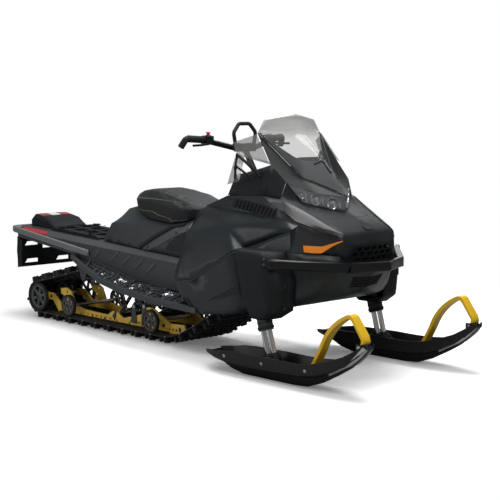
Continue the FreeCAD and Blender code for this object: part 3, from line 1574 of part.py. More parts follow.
def make_deflectors():
    wall = float(size("deflector_wall"))
    behind = Vector(700, 0, 1000)
    crown = float(size("shield_top_height"))
    upper = [(664, -236, crown - 100), (776, -256, crown - 246), (711, -278, crown - 222), (580, -306, crown - 188),
             (566, -300, crown - 140)]
    lower = [(590, -306, crown - 192), (640, -296, crown - 202), (607, -303, crown - 333), (512, -296, crown - 354)]
    sheets = [thin_sheet([Vector(*place) for place in outline], wall, behind) for outline in (upper, lower)]
    stay = tube([Vector(764, -240, crown - 242), Vector(700, -272, crown - 224), Vector(606, -301, crown - 198)], 60, 6.0)
    right = feature("deflector_sheets", solids_of(stay.multiFuse(sheets)))
    around = group("deflector_neighbours", [doc.getObject("windshield_frame_skin"), doc.getObject("windshield_skin"),
                                            doc.getObject("console")])
    right = cut("deflector_right", right, around)
    left = other_side("deflector_left", right)
    keep(group("wind_deflectors", [right, left]), "wind_deflectors")


def make_engine():
    """Engine as one block on a bulkhead that joins the tunnel's front."""
    half = size("engine_half_width")
    base = size("engine_base")
    keep(box("engine_block", (size("engine_length"), half * 2, size("engine_height")),
             (size("engine_rear"), -half, base)), "engine_block")
    body = new_body("bulkhead_frame")
    plate_wall = size("bulkhead_plate")
    front = size("tunnel_front") + size("seat_clearance")
    wide = size("tunnel_half_width")
    outline = [(front, 350.0), (front + 120, 330.0), (front + 470, 370.0), (front + 480, base), (front, base)]
    pad = plate(body, [outline], wide - plate_wall, plate_wall)
    mirror_side(body, [pad])
    for start in (size("engine_rear") + 10, size("engine_rear") + size("engine_length") - 50):
        bar = [(start, base - 40), (start + 40, base - 40), (start + 40, base), (start, base)]
        bar_plate(body, [bar], (wide - 1) * 2)
    return body


def column_base():
    """Lower end of the steering column."""
    rake = math.radians(float(size("column_rake")))
    length = float(size("column_length"))
    return (Term(float(size("column_along")) + length * math.sin(rake),
                 "Sizes.column_along + Sizes.column_length * sin(Sizes.column_rake)"),
            Term(float(size("column_height")) - length * math.cos(rake),
                 "Sizes.column_height - Sizes.column_length * cos(Sizes.column_rake)"))


def column_rod(name, radius, length):
    """Rod on the steering axis from the column's lower end upwards."""
    along, height = column_base()
    item = cylinder(name, radius, length, (along, 0.0, height), -size("column_rake"))
    return item


def make_bulkhead(frame):
    """Bulkhead with the column's lower bearing, which stands on the engine."""
    along, height = column_base()
    base = size("engine_base") + size("engine_height")
    block = box("support_block", (Term(90, "90"), Term(90, "90"), height - base + 26), (along - 45, Term(-45, "(-45)"), base))
    rod = column_rod("support_bore", size("post_radius") + size("running_clearance"), Term(200, "200"))
    keep(group("bulkhead", [frame, cut("column_bearing", block, rod)]), "bulkhead")


def make_handlebar():
    top = Vector(size("column_along"), 0, size("column_height"))
    reach = float(size("bar_half_width"))
    radius = float(size("bar_radius"))
    points = []
    for side in (-1, 1):
        half = [Vector(262, side * reach, 1140), Vector(284, side * 240, 1134), Vector(322, side * 120, 1104),
                Vector(330, side * 60, 1090)]
        points += half if side < 0 else half[::-1]
    bar = tube(points, 40, radius)
    bar_object = feature("bar", bar)
    post = column_rod("post", size("post_radius"), size("column_length"))
    clamp = box("clamp", (Term(56, "56"), Term(110, "110"), Term(40, "40")),
                (size("column_along") - 28, Term(-55, "(-55)"), size("column_height") - 15))
    keep(fuse("handlebar", [bar_object, post, clamp]), "handlebar")
    grips, controls = [], []
    for side in (-1, 1):
        path = [Vector(281, side * 258, 1135), Vector(262, side * (reach + 2), 1140), Vector(236, side * (reach + 16), 1096)]
        grips.append(solids_of(tube(path, 20, size("grip_radius")).cut(bar)))
        block = Part.makeBox(52, 46, 44, Vector(262, -23 + side * 226, 1110))
        lever = tube([Vector(300, side * 226, 1112), Vector(322, side * 300, 1108), Vector(316, side * 350, 1106)], 20, 6)
        controls.append(solids_of(block.fuse(lever).cut(bar)))
    keep(feature("grips", Part.makeCompound(grips)), "grips")
    keep(feature("controls", Part.makeCompound(controls)), "controls")
    loop = [Vector(330, -66, 1100), Vector(330, -80, 1170), Vector(326, -38, 1216), Vector(326, 38, 1216),
            Vector(330, 80, 1170), Vector(330, 66, 1100)]
    strap = tube(loop, 26, 10)
    corner = Vector(float(size("column_along")) - 28, -55, float(size("column_height")) - 15)
    strap = strap.cut([bar, Part.makeBox(56, 110, 40, corner)])
    keep(feature("grab_loop", max(strap.Solids, key=lambda solid: solid.Volume)), "grab_loop")


def build():
    make_track()
    make_wheels()
    make_shafts()
    make_drive_axle()
    make_rails()
    make_suspension(make_small_wheel_brackets())
    make_tunnel()
    make_boards()
    make_rear_bumper()
    make_snow_flap()
    make_reflectors(make_rear_lamp())
    make_rack()
    make_hitch()
    opening = column_rod("column_way", size("post_radius") + size("post_clearance"), size("column_length"))
    make_seat()
    make_tank(opening)
    doc.recompute()
    inside = make_body(opening)
    make_legs(inside)
    make_bulkhead(make_engine())
    make_handlebar()
    make_bumper()
    make_deflectors()


def check_and_write():
    doc.recompute()
    faults = []
    for item in doc.Objects:
        if "Invalid" in item.State or "Error" in item.State:
            faults.append("%s is %s" % (item.Label, item.State))
        elif item.TypeId in ("PartDesign::Pocket", "PartDesign::SubtractiveLoft"):
            if item.Shape.Volume > item.BaseFeature.Shape.Volume - 1:
                faults.append("%s cuts nothing" % item.Label)
    for item in finished:
        shape = item.Shape
        if shape.isNull() or not shape.isValid() or not shape.Solids:
            faults.append("%s has no sound solid" % item.Label)
    if faults:
        raise RuntimeError("; ".join(faults))
    os.makedirs("parts", exist_ok=True)
    whole = FreeCAD.BoundBox()
    for item in finished:
        item.Shape.exportStep("parts/%s.step" % item.Label)
        whole.add(item.Shape.BoundBox)
    print("%d parts, box %s" % (len(finished), whole))


build()
check_and_write()
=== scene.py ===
"""Snowmobile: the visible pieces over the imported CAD, +X forward, +Y left, +Z up. Lengths are in metres,
point lists in millimetres; most lists give the right-hand side and are mirrored for the left."""
import math

import bmesh
import bpy
from mathutils import Matrix, Vector
from mathutils.bvhtree import BVHTree


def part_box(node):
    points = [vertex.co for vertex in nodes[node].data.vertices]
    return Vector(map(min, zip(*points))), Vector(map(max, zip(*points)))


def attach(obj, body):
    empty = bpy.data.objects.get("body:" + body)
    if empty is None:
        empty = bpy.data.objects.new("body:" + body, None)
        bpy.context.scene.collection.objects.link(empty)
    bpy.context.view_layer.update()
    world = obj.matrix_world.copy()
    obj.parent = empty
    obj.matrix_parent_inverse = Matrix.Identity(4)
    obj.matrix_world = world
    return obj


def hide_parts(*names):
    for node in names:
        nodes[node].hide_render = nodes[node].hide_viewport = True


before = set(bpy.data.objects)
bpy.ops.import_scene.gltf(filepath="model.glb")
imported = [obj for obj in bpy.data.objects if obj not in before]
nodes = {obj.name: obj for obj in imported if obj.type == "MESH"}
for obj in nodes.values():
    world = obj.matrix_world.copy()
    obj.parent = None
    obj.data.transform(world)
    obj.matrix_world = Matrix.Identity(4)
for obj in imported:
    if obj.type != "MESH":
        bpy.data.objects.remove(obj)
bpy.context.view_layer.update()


# shading

def feed(tree, node, inputs):
    """Sets the inputs of a shader node; a value that is a socket is wired to it."""
    for name, value in inputs.items():
        if isinstance(value, bpy.types.NodeSocket):
            tree.links.new(value, node.inputs[name])
        else:
            node.inputs[name].default_value = value


def add(tree, kind, output, inputs=(), **settings):
    """A new shader node with its settings and inputs; gives its named output."""
    node = tree.nodes.new("ShaderNode" + kind)
    for name, value in settings.items():
        setattr(node, name, value)
    feed(tree, node, dict(inputs))
    return node.outputs[output]


def blend(tree, factor, first, second):
    inputs = {"Factor": factor, "A": first, "B": second}
    return add(tree, "Mix", "Result", inputs, data_type="RGBA")


def opaque(rgb):
    return (*rgb, 1)


def surface(name):
    m = bpy.data.materials.new(name)
    m.use_nodes = True
    return m, m.node_tree, m.node_tree.nodes["Principled BSDF"]


def material(name, colour, rough, metal=0.0, grain=0.0, grain_size=900.0, tone=0.08, rough_swing=0.06,
             coat=0.0, coat_rough=0.1, sheen=0.0, wear=0.0, streak=None, specular=None):
    """Principled surface whose colour and roughness drift slowly over the piece, with a fine moulded or
    cast grain, and lighter worn edges if told."""
    m, tree, skin = surface(name)
    feed(tree, skin, {"Metallic": metal, "Coat Weight": coat, "Coat Roughness": coat_rough,
                      "Sheen Weight": sheen})
    if specular is not None:
        skin.inputs["Specular IOR Level"].default_value = specular
    place = add(tree, "TexCoord", "Object")
    where = add(tree, "Mapping", "Vector", {"Scale": streak, "Vector": place}) if streak else place
    drift = add(tree, "TexNoise", "Fac", {"Scale": 9, "Detail": 6, "Roughness": 0.6, "Vector": where})
    base = Vector(colour)
    shade = blend(tree, drift, opaque(base * (1 - tone)), opaque(min(1, c) for c in base * (1 + tone)))
    if wear:
        edge = add(tree, "NewGeometry", "Pointiness")
        share = add(tree, "MapRange", "Result",
                    {"From Min": 0.52, "From Max": 0.62, "To Max": wear, "Value": edge})
        shade = blend(tree, share, shade, opaque(min(1, c * 2.2 + 0.05) for c in colour))
    low, high = max(0.02, rough - rough_swing), min(1, rough + rough_swing)
    gloss = add(tree, "MapRange", "Result", {"To Min": low, "To Max": high, "Value": drift})
    feed(tree, skin, {"Base Color": shade, "Roughness": gloss})
    if grain:
        fine = add(tree, "TexNoise", "Fac", {"Scale": grain_size, "Detail": 3, "Vector": place})
        bump = add(tree, "Bump", "Normal", {"Strength": grain, "Distance": 0.0006, "Height": fine})
        feed(tree, skin, {"Normal": bump})
    return m


def clear_sheet(name, tint, alpha, rough=0.04, frost=None):
    """Tinted clear sheet with a glossy skin; frost makes it paler and denser above a height."""
    m, tree, skin = surface(name)
    feed(tree, skin, {"Roughness": rough, "Coat Weight": 0.6, "Coat Roughness": 0.03})
    place = add(tree, "TexCoord", "Object")
    drift = add(tree, "TexNoise", "Fac", {"Scale": 6, "Detail": 4, "Vector": place})
    shade = blend(tree, drift, opaque(c * 0.92 for c in tint), opaque(c * 1.06 for c in tint))
    if frost:
        low, high, pale, dense = frost
        height = add(tree, "SeparateXYZ", "Z", {"Vector": place})
        share = add(tree, "MapRange", "Result", {"From Min": low, "From Max": high, "Value": height},
                    interpolation_type="SMOOTHSTEP")
        shade = blend(tree, share, shade, opaque(pale))
        alpha = add(tree, "MapRange", "Result", {"To Min": alpha, "To Max": dense, "Value": share})
    feed(tree, skin, {"Base Color": shade, "Alpha": alpha})
    return m


M = {
    "body": material("satin_black_plastic", (0.0105, 0.0148, 0.0178), 0.40, grain=0.25, grain_size=1400,
                     wear=0.12),
    # grained black plastic; on the leg pods its darker colour is painted shade for faces turned from the
    # light
    "body_rough": material("grained_black_plastic_and_painted_shade", (0.0062, 0.0080, 0.0094), 0.6, specular=0.26, grain=0.7,
                           grain_size=1100, wear=0.1),
    "hood": material("hood_plastic", (0.0088, 0.0118, 0.0138), 0.46, specular=0.33, grain=0.12,
                     grain_size=1400),
    "frame": material("screen_frame_black", (0.006, 0.0065, 0.0072), 0.44, specular=0.3, grain=0.1),
    "gloss": material("gloss_black_paint", (0.005, 0.005, 0.0055), 0.30, specular=0.3, coat=0.12,
                      coat_rough=0.12, grain=0.05, rough_swing=0.03),
    "steel_dark": material("dark_steel", (0.06, 0.06, 0.062), 0.4, metal=0.7),
    "tyre": material("wheel_tyre", (0.014, 0.014, 0.0145), 0.6, grain=0.4),
    "spring": material("black_spring", (0.02, 0.02, 0.021), 0.3, metal=0.4),
    # pale grey alloy: the seat's side panels, and painted highlights on the tunnel's shoulder strips and ribs
    "shoulder": material("grey_alloy_and_painted_highlight", (0.095, 0.099, 0.104), 0.38, metal=0.4, grain=0.15),
    # black plastic made lighter: painted light on the seat base, lit from above, and painted highlights on
    # the lips
    "base": material("black_plastic_painted_lighter", (0.032, 0.0385, 0.0430), 0.5, grain=0.6, grain_size=1000),
    "bright_gloss": material("gloss_black_bar", (0.006, 0.006, 0.0065), 0.34, specular=0.35, coat=0.08,
                             coat_rough=0.15),
    "ski_grey": material("ski_tip_grey", (0.46, 0.47, 0.48), 0.4, grain=0.3),
    "welt": material("seat_thread", (0.30, 0.26, 0.18), 0.6),
    "lamp_core": material("lamp_projector", (0.30, 0.33, 0.37), 0.06, coat=1.0, coat_rough=0.03, tone=0.2),
    # matt black: the black parts, and painted shade in hollows, vent and louvre openings and behind the
    # grille
    "dark": material("matt_black_and_painted_shade", (0.008, 0.008, 0.009), 0.7, grain=0.4),
    "alloy": material("black_painted_alloy", (0.046, 0.053, 0.059), 0.36, metal=0.35, grain=0.2, wear=0.5),
    "bumper": material("grey_bumper_plastic", (0.155, 0.163, 0.170), 0.45, grain=0.5),
    "steel": material("zinc_steel", (0.46, 0.47, 0.48), 0.32, metal=1.0, grain=0.15),
    "chrome": material("polished_chrome", (0.76, 0.77, 0.78), 0.09, metal=1.0, rough_swing=0.03, tone=0.03),
    "rubber": material("track_rubber", (0.013, 0.013, 0.0135), 0.68, grain=0.9, grain_size=700, wear=0.25),
    "grip": material("grip_rubber", (0.012, 0.012, 0.012), 0.75, grain=0.8),
    "rail": material("golden_yellow_paint", (1.0, 0.60, 0.075), 0.34, grain=0.1, coat=0.3, wear=0.15),
    "loop": material("bright_yellow_plastic", (0.90, 0.55, 0.012), 0.36, grain=0.3, tone=0.05),
    "wheel": material("grey_wheel_nylon", (0.085, 0.089, 0.093), 0.5, grain=0.3, wear=0.2),
    "engine": material("cast_engine_metal", (0.20, 0.20, 0.21), 0.5, metal=0.8, grain=0.8, grain_size=500),
    "seat": material("black_vinyl", (0.0105, 0.0118, 0.0135), 0.54, specular=0.33, grain=0.9, grain_size=520,
                     sheen=0.04),
    "bar": material("black_coated_bar", (0.015, 0.015, 0.016), 0.35, grain=0.15),
    "ski": material("black_ski_plastic", (0.0075, 0.0080, 0.0090), 0.42, specular=0.35, grain=0.35,
                    streak=(2, 12, 12), wear=0.2),
    "red": material("signal_red", (0.62, 0.02, 0.015), 0.3, tone=0.12),
    "amber": material("amber_lens", (0.95, 0.27, 0.01), 0.18, coat=0.8, tone=0.06),
    "white": material("lamp_white", (0.8, 0.8, 0.8), 0.25),
    "lens_red": material("tail_lens_red", (0.45, 0.01, 0.012), 0.12, coat=1.0, tone=0.12),
    "screen": clear_sheet("smoked_screen", (0.18, 0.177, 0.170), 0.25,
                          frost=(1.13, 1.235, (0.52, 0.515, 0.50), 0.86)),
    "deflector": clear_sheet("clear_deflector", (0.22, 0.22, 0.215), 0.48),
    "lamp": clear_sheet("lamp_lens", (0.60, 0.62, 0.65), 0.20, rough=0.02),
    "mirror": material("lamp_reflector", (0.9, 0.91, 0.93), 0.12, metal=1.0, tone=0.04),
}

# body, material and slot of each CAD node
LOOK = {node: tuple(look.split()) for look, names in (
    ("chassis alloy dark_alloy", "tunnel running_boards suspension_arms"),
    ("chassis bumper bumper_grey", "rear_bumper"),
    ("chassis body_rough body_black", "snow_flap tail_lamp cargo_rack seat_base"),
    ("chassis body body_black", "belly_pan"),
    ("chassis body_rough body_black", "nose_grille"),
    ("chassis body body_black", "side_panel_right side_panel_left"),
    ("chassis body_rough body_black", "console"),
    ("chassis body body_black", "leg_shrouds fuel_tank"),
    ("chassis lens_red lamp_red", "reflectors"),
    ("chassis steel steel", "tow_hitch wheel_shafts dampers"),
    ("chassis seat seat_cover", "seat_cushion"),
    ("chassis engine engine_metal", "engine_block leg_bearings bulkhead"),
    ("chassis gloss gloss_black", "hood windshield_frame"),
    ("chassis bright_gloss gloss_black", "front_bumper"),
    ("chassis screen smoked_screen", "windshield"),
    ("chassis deflector smoked_screen", "wind_deflectors"),
    ("chassis lamp lamp_lens", "headlamps"),
    ("chassis rubber track_rubber", "track"),
    ("chassis rail rail_yellow", "rails"),
    ("chassis wheel wheel_grey", "idler_wheels drive_axle"),
    ("handlebar bar bar_black", "handlebar"),
    ("handlebar body_rough bar_black", "controls"),
    ("handlebar grip grip_rubber", "grips grab_loop"),
    ("leg_right chrome tube_chrome", "leg_tubes_right"),
    ("leg_left chrome tube_chrome", "leg_tubes_left"),
    ("leg_right body bar_black", "leg_sleeve_right"),
    ("leg_left body bar_black", "leg_sleeve_left"),
    ("ski_right ski body_black", "ski_right"),
    ("ski_left ski body_black", "ski_left"),
    ("ski_right loop loop_yellow", "ski_loop_right"),
    ("ski_left loop loop_yellow", "ski_loop_left"),
) for node in names.split()}


# mesh helpers

def link(obj):
    bpy.context.scene.collection.objects.link(obj)
    return obj


def from_bmesh(name, bm, *keys):
    mesh = bpy.data.meshes.new(name)
    bm.to_mesh(mesh)
    bm.free()
    for key in keys:
        mesh.materials.append(M[key])
    return link(bpy.data.objects.new(name, mesh))


def smooth(obj, angle):
    for poly in obj.data.polygons:
        poly.use_smooth = True
    obj.data.set_sharp_from_angle(angle=math.radians(angle))
    return obj


def baked(obj, angle):
    """Works the object's modifiers into its mesh."""
    graph = bpy.context.evaluated_depsgraph_get()
    graph.update()
    mesh = bpy.data.meshes.new_from_object(obj.evaluated_get(graph))
    obj.modifiers.clear()
    obj.data = mesh
    return smooth(obj, angle)


def modified(obj, kind, **settings):
    made = obj.modifiers.new(kind.lower(), kind)
    for name, value in settings.items():
        setattr(made, name, value)
    return made


def stand_in(obj, node):
    """The piece rides on its node's body and replaces it."""
    body, _, slot = LOOK[node]
    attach(obj, body)
    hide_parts(node)
    return obj


def finish_piece(name, bm, key, angle=40, body="chassis", stands_for=None):
    bmesh.ops.recalc_face_normals(bm, faces=bm.faces)
    obj = smooth(from_bmesh(name, bm, key), angle)
    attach(obj, body)
    if stands_for:
        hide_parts(stands_for)
    return obj


WELD, FLAT, SHARP = 2e-5, math.radians(0.6), math.radians(28)   # one point, one face, and an edge to round


def welded(node):
    """The node's solids as one clean mesh of flat many-sided faces."""
    bm = bmesh.new()
    bm.from_mesh(nodes[node].data)
    bmesh.ops.remove_doubles(bm, verts=bm.verts, dist=WELD)
    bmesh.ops.dissolve_limit(bm, angle_limit=FLAT, verts=bm.verts, edges=bm.edges)
    return bm


def soften(node, width=0.0015, shortest=5.0, segments=2):
    """The node's own form with its outer edges rounded over."""
    bm = welded(node)
    layer = bm.edges.layers.float.new("bevel_weight_edge")
    for e in bm.edges:
        if len(e.link_faces) != 2 or e.calc_length() < width * shortest:
            continue
        if e.calc_face_angle(0) > SHARP and min(f.calc_area() for f in e.link_faces) > width * width * 6:
            e[layer] = 1.0
    obj = from_bmesh(node + "_form", bm, LOOK[node][1])
    modified(obj, "BEVEL", limit_method="WEIGHT", width=width, segments=segments, use_clamp_overlap=False,
             harden_normals=False)
    smooth(obj, 40)
    modified(obj, "WEIGHTED_NORMAL", keep_sharp=True)
    return stand_in(obj, node)


def mm(points):
    return [Vector(p) * 0.001 for p in points]


def sided(side):
    """For the right (-1) or left (1) side: a function that mirrors right-hand points (mm), and one that
    gives the mirrored place of a single point in metres."""
    def points(*right):
        return [(x, y if side < 0 else -y, z) for x, y, z in right]
    return points, lambda *place: mm(points(place))[0]


def skin_of(*objects):
    bm = bmesh.new()
    for obj in objects:
        bm.from_mesh(obj.data)
    tree = BVHTree.FromBMesh(bm)
    bm.free()
    return tree


REACH, DEPTH = 0.03, 0.075              # a skin is looked for from this far outside, and this far along
INNER_BACK, INNER_HEIGHT = 0.3, 0.45    # a point inside the machine: this far behind a place, and this high


def outward(skin, place):
    """The skin's direction near a place, turned away from the machine's middle."""
    out = skin.find_nearest(place)[1]
    return -out if out.dot(place - Vector((place.x - INNER_BACK, 0, INNER_HEIGHT))) < 0 else out


def cast(skin, place, out):
    return skin.ray_cast(place + out * REACH, -out, DEPTH)[:2]


def lay(skin, points, step=0.008):
    """Spots along a broken line (mm) laid on a skin, each with the skin's outward direction."""
    points = mm(points)
    line = []
    for a, b in zip(points, points[1:]):
        n = max(1, round((b - a).length / step))
        line += [a.lerp(b, i / n) for i in range(n)]
    spots, out = [], outward(skin, points[0])
    for p in line + points[-1:]:
        place, normal = cast(skin, p, out)
        if place is None:
            continue
        if normal.dot(out) > 0.3:
            out = normal.copy()
        spots.append((place, out.copy()))
    return spots


def spot_on(skin, place):
    """Where a point (mm) meets a skin, and the skin's direction there."""
    return lay(skin, [place, place])[0]


def bridge(bm, rings, closed=False):
    """Faces between a row of equal rings of vertices, and over both ends of an open row."""
    for a, b in zip(rings, rings[1:] + (rings[:1] if closed else [])):
        for k in range(len(a)):
            j = (k + 1) % len(a)
            bm.faces.new((a[k], a[j], b[j], b[k]))
    if not closed:
        bm.faces.new(rings[0][::-1])
        bm.faces.new(rings[-1])


def heading(course, i):
    return (course[min(len(course) - 1, i + 1)] - course[max(0, i - 1)]).normalized()


def bar_along(bm, spots, half, up, top=1.0, down=0.001):
    """Bar along the spots, from down below the skin to up above it, its top narrowed."""
    rings, course = [], [place for place, _ in spots]
    for i, (place, normal) in enumerate(spots):
        side = heading(course, i).cross(normal).normalized()
        rings.append([bm.verts.new(place + side * s * half * t + normal * h)
                      for s, h, t in ((-1, -down, 1), (1, -down, 1), (1, up, top), (-1, up, top))])
    bridge(bm, rings)


def strip(bm, skin, line, half, up, top=1.0, down=0.001, step=0.008, least=3):
    """Bar laid on a skin along a broken line (mm), left out where the skin takes too few of its spots."""
    spots = lay(skin, line, step)
    if len(spots) >= least:
        bar_along(bm, spots, half, up, top, down)


def turned(bm, place, axis, profile, sides=20, ring=False):
    """Profile of (radius, height) turned about an axis; a ring profile closes on itself."""
    axis = Vector(axis).normalized()
    across = axis.orthogonal().normalized()
    rise = axis.cross(across)
    rings = []
    for radius, height in profile:
        centre = Vector(place) + axis * height
        if radius < 1e-6:
            rings.append([bm.verts.new(centre)])
        else:
            rings.append([bm.verts.new(centre + (across * math.cos(a) + rise * math.sin(a)) * radius)
                          for a in (2 * math.pi * i / sides for i in range(sides))])
    for a, b in zip(rings, rings[1:] + (rings[:1] if ring else [])):
        for i in range(sides):
            corners = [a[i % len(a)], a[(i + 1) % len(a)], b[(i + 1) % len(b)], b[i % len(b)]]
            corners = list(dict.fromkeys(corners))
            if len(corners) > 2:
                bm.faces.new(corners)


def doubled(half):
    """A profile of (radius, height) and its mirror image."""
    return half + [(r, -h) for r, h in half[::-1]]


def bolt(bm, place, axis, radius, h, sides=16):
    """Button head on a washer, with a socket in the middle."""
    profile = [(radius * wide, h * high) for wide, high in (
        (0, 0.45), (0.3, 0.45), (0.38, 1), (0.62, 0.96), (0.86, 0.7), (0.93, 0.25), (1.25, 0.2))]
    turned(bm, place, axis, profile + [(radius * 1.3, -0.001), (0, -0.001)], sides)


def curved(points, steps=6):
    """A smooth course through the points (mm)."""
    p = mm(points)
    p = [p[0] * 2 - p[1]] + p + [p[-1] * 2 - p[-2]]
    course = []
    for a, b, c, d in zip(p, p[1:], p[2:], p[3:]):
        for i in range(steps):
            t = i / steps
            course.append(((b * 2) + (c - a) * t + (a * 2 - b * 5 + c * 4 - d) * t * t
                           + (b * 3 - a - c * 3 + d) * t ** 3) / 2)
    return course + [p[-2]]


def pipe(bm, course, radius, sides=10):
    """Round bar along a course."""
    side = (course[1] - course[0]).normalized().orthogonal().normalized()
    rings = []
    for i, place in enumerate(course):
        way = heading(course, i)
        side = (side - way * side.dot(way)).normalized()
        other = way.cross(side)
        rings.append([bm.verts.new(place + (side * math.cos(a) + other * math.sin(a)) * radius)
                      for a in (2 * math.pi * k / sides for k in range(sides))])
    bridge(bm, rings)


def resampled(points, n):
    """n + 1 evenly spaced places along a broken line."""
    lengths = [(b - a).length for a, b in zip(points, points[1:])]
    total, places = sum(lengths), []
    for i in range(n + 1):
        left, k = total * i / n, 0
        while k < len(lengths) - 1 and left > lengths[k]:
            left -= lengths[k]
            k += 1
        places.append(points[k].lerp(points[k + 1], min(1, left / max(lengths[k], 1e-9))))
    return places


def sheet(bm, columns):
    """Faces between a row of equal columns of vertices."""
    for x, y in zip(columns, columns[1:]):
        for k in range(len(x) - 1):
            bm.faces.new((x[k], x[k + 1], y[k + 1], y[k]))


def patch(bm, skin, a, b, up, down, n, rows):
    """Sheet on a skin between two lines (mm), its top up above the skin and its skirt down into it."""
    columns = []
    for p, q in zip(resampled(mm(a), n), resampled(mm(b), n)):
        column = []
        for k in range(rows + 1):
            spot = p.lerp(q, k / rows)
            out = outward(skin, spot)
            place, normal = cast(skin, spot, out)
            if place is None:
                place, normal = spot, out
            column.append((place, -normal if normal.dot(out) < 0 else normal))
        columns.append(column)
    top, low = ([[bm.verts.new(p + m * h) for p, m in column] for column in columns] for h in (up, -down))
    for columns in (top, low):
        sheet(bm, columns)
    edge = [(i, 0) for i in range(n)] + [(n, k) for k in range(rows)] \
        + [(i, rows) for i in range(n, 0, -1)] + [(0, k) for k in range(rows, 0, -1)]
    for (i, k), (j, m) in zip(edge, edge[1:] + edge[:1]):
        bm.faces.new((top[i][k], top[j][m], low[j][m], low[i][k]))


def box_piece(bm, a, b, turn=None):
    """Block between two opposite corners (mm), turned about its middle if told."""
    a, b = mm([a, b])
    low, high = (Vector([pick(pair) for pair in zip(a, b)]) for pick in (min, max))
    made = bmesh.ops.create_cube(bm, size=1)["verts"]
    matrix = Matrix.Translation((low + high) / 2) @ (turn or Matrix()) @ Matrix.Diagonal((*(high - low), 1))
    bmesh.ops.transform(bm, matrix=matrix, verts=made)


def leaning(degrees):
    return Matrix.Rotation(math.radians(degrees), 4, "Y")


# the nodes' own forms

for node, obj in nodes.items():
    obj.data.materials.clear()
    obj.data.materials.append(M[LOOK[node][1]])
REMADE = {"track", "seat_cushion", "windshield", "idler_wheels", "hood", "side_panel_right",
          "side_panel_left", "belly_pan", "leg_shrouds", "console", "fuel_tank", "seat_base",
          "windshield_frame", "headlamps"}
ROUND = {"front_bumper": 0.007, "ski_loop_right": 0.005, "ski_loop_left": 0.005, "rear_bumper": 0.006,
         "tail_lamp": 0.006, "ski_right": 0.0025, "ski_left": 0.0025, "controls": 0.003, "rails": 0.001,
         "grab_loop": 0.002}
shells = {node: soften(node, ROUND.get(node, 0.0015), segments=3 if node in ROUND else 2)
          for node in LOOK if node not in REMADE}

# the steering post's lower end, a hair thinner and shorter than its facetted bearing so that it turns freely
POST, POST_LEAN, POST_RADIUS = Vector((0.5642, 0, 0.7244)), math.radians(33), 0.0150
POST_WAY = Vector((-math.sin(POST_LEAN), 0, math.cos(POST_LEAN)))
for v in shells["handlebar"].data.vertices:
    along = (v.co - POST).dot(POST_WAY)
    out = v.co - POST - POST_WAY * along
    if along < 0.08 and out.length < 0.03:
        v.co = POST + POST_WAY * max(along, 0.001) + out * min(1.0, POST_RADIUS / max(out.length, 1e-6))


RIM_WIDTH = 0.004


def close_slots(bm, low, high, axis):
    """Closes the small openings whose walls run along an axis inside a box (mm)."""
    low, high = mm([low, high])
    walls = [f for f in bm.faces if abs(f.normal[axis]) < 2e-3
             and all(low[i] < v.co[i] < high[i] for v in f.verts for i in range(3))]
    rims = {e for f in walls for e in f.edges if any(g not in walls for g in e.link_faces)}
    bmesh.ops.delete(bm, geom=walls, context="FACES")
    bmesh.ops.holes_fill(bm, edges=[e for e in rims if e.is_valid and e.is_boundary], sides=0)
    bmesh.ops.dissolve_limit(bm, angle_limit=math.radians(0.8), verts=bm.verts, edges=bm.edges)
    bm.normal_update()


def narrow(face):
    """Whether a face is part of a panel's rim: its area over half its outline is about its width."""
    return 2 * face.calc_area() / max(1e-9, sum(e.calc_length() for e in face.edges)) < RIM_WIDTH


def sculpt(node, key, levels=2, gap=0.0016, bend=(12, 30), crease=(0.5, 0.9), closed=None):
    """A panel drawn as one moulding: folds under the first bend flow into each other, sharper ones stay as
    lines of the given creases, and the rim is drawn back by the gap from its neighbours."""
    bm = welded(node)
    if closed:
        close_slots(bm, *closed)
    soft = bm.edges.layers.float.new("crease_edge")
    pin = bm.verts.layers.float.new("crease_vert")
    bm.normal_update()
    rim = {f for f in bm.faces if narrow(f)}
    border = {e for e in bm.edges if any(f in rim for f in e.link_faces)}
    shift = {}
    for e in border:
        broad = [f for f in e.link_faces if f not in rim]
        if len(broad) != 1:
            continue
        a, b = (v.co for v in e.verts)
        inward = broad[0].normal.cross((b - a).normalized())
        if inward.dot(broad[0].calc_center_median() - (a + b) / 2) < 0:
            inward.negate()
        for v in e.verts:
            shift[v] = shift.get(v, Vector()) + inward
    for e in bm.edges:
        if e in border or len(e.link_faces) != 2:
            e[soft] = 1.0
            for v in e.verts:
                v[pin] = 1.0
            continue
        angle = math.degrees(e.calc_face_angle(0))
        e[soft] = 0.0 if angle < bend[0] else crease[0] if angle < bend[1] else crease[1]
    for v, way in shift.items():
        if way.length > 1e-6:
            v.co += way.normalized() * gap
    obj = from_bmesh(node + "_moulding", bm, key)
    modified(obj, "SUBSURF", levels=levels, render_levels=levels, boundary_smooth="PRESERVE_CORNERS")
    return stand_in(baked(obj, 50), node)


panels = {node: sculpt(node, key, **more) for node, key, more in (
    ("side_panel_right", "body", {"closed": ((530, -330, 740), (920, -225, 850), 1)}),
    ("side_panel_left", "body", {"closed": ((530, 225, 740), (920, 330, 850), 1)}),
    ("belly_pan", "body", {"closed": ((1100, -110, 425), (1260, 110, 500), 0)}),
    # the pods take the darker plastic as painted shade on their faces turned from the light
    ("leg_shrouds", "body_rough", {}),
    ("hood", "hood", {"bend": (14, 32), "crease": (0.6, 0.95)}),
    ("windshield_frame", "frame", {"gap": 0}),
    ("console", "body_rough", {"gap": 0}),
    ("fuel_tank", "body", {"gap": 0}),
    # the seat base takes the lighter plastic as painted light from above
    ("seat_base", "base", {"gap": 0, "crease": (0.5, 0.85)}),
    ("windshield", "screen", {"levels": 3, "bend": (20, 60), "crease": (0.3, 0.6)}),
    ("headlamps", "lamp", {}),
)}


# bodywork

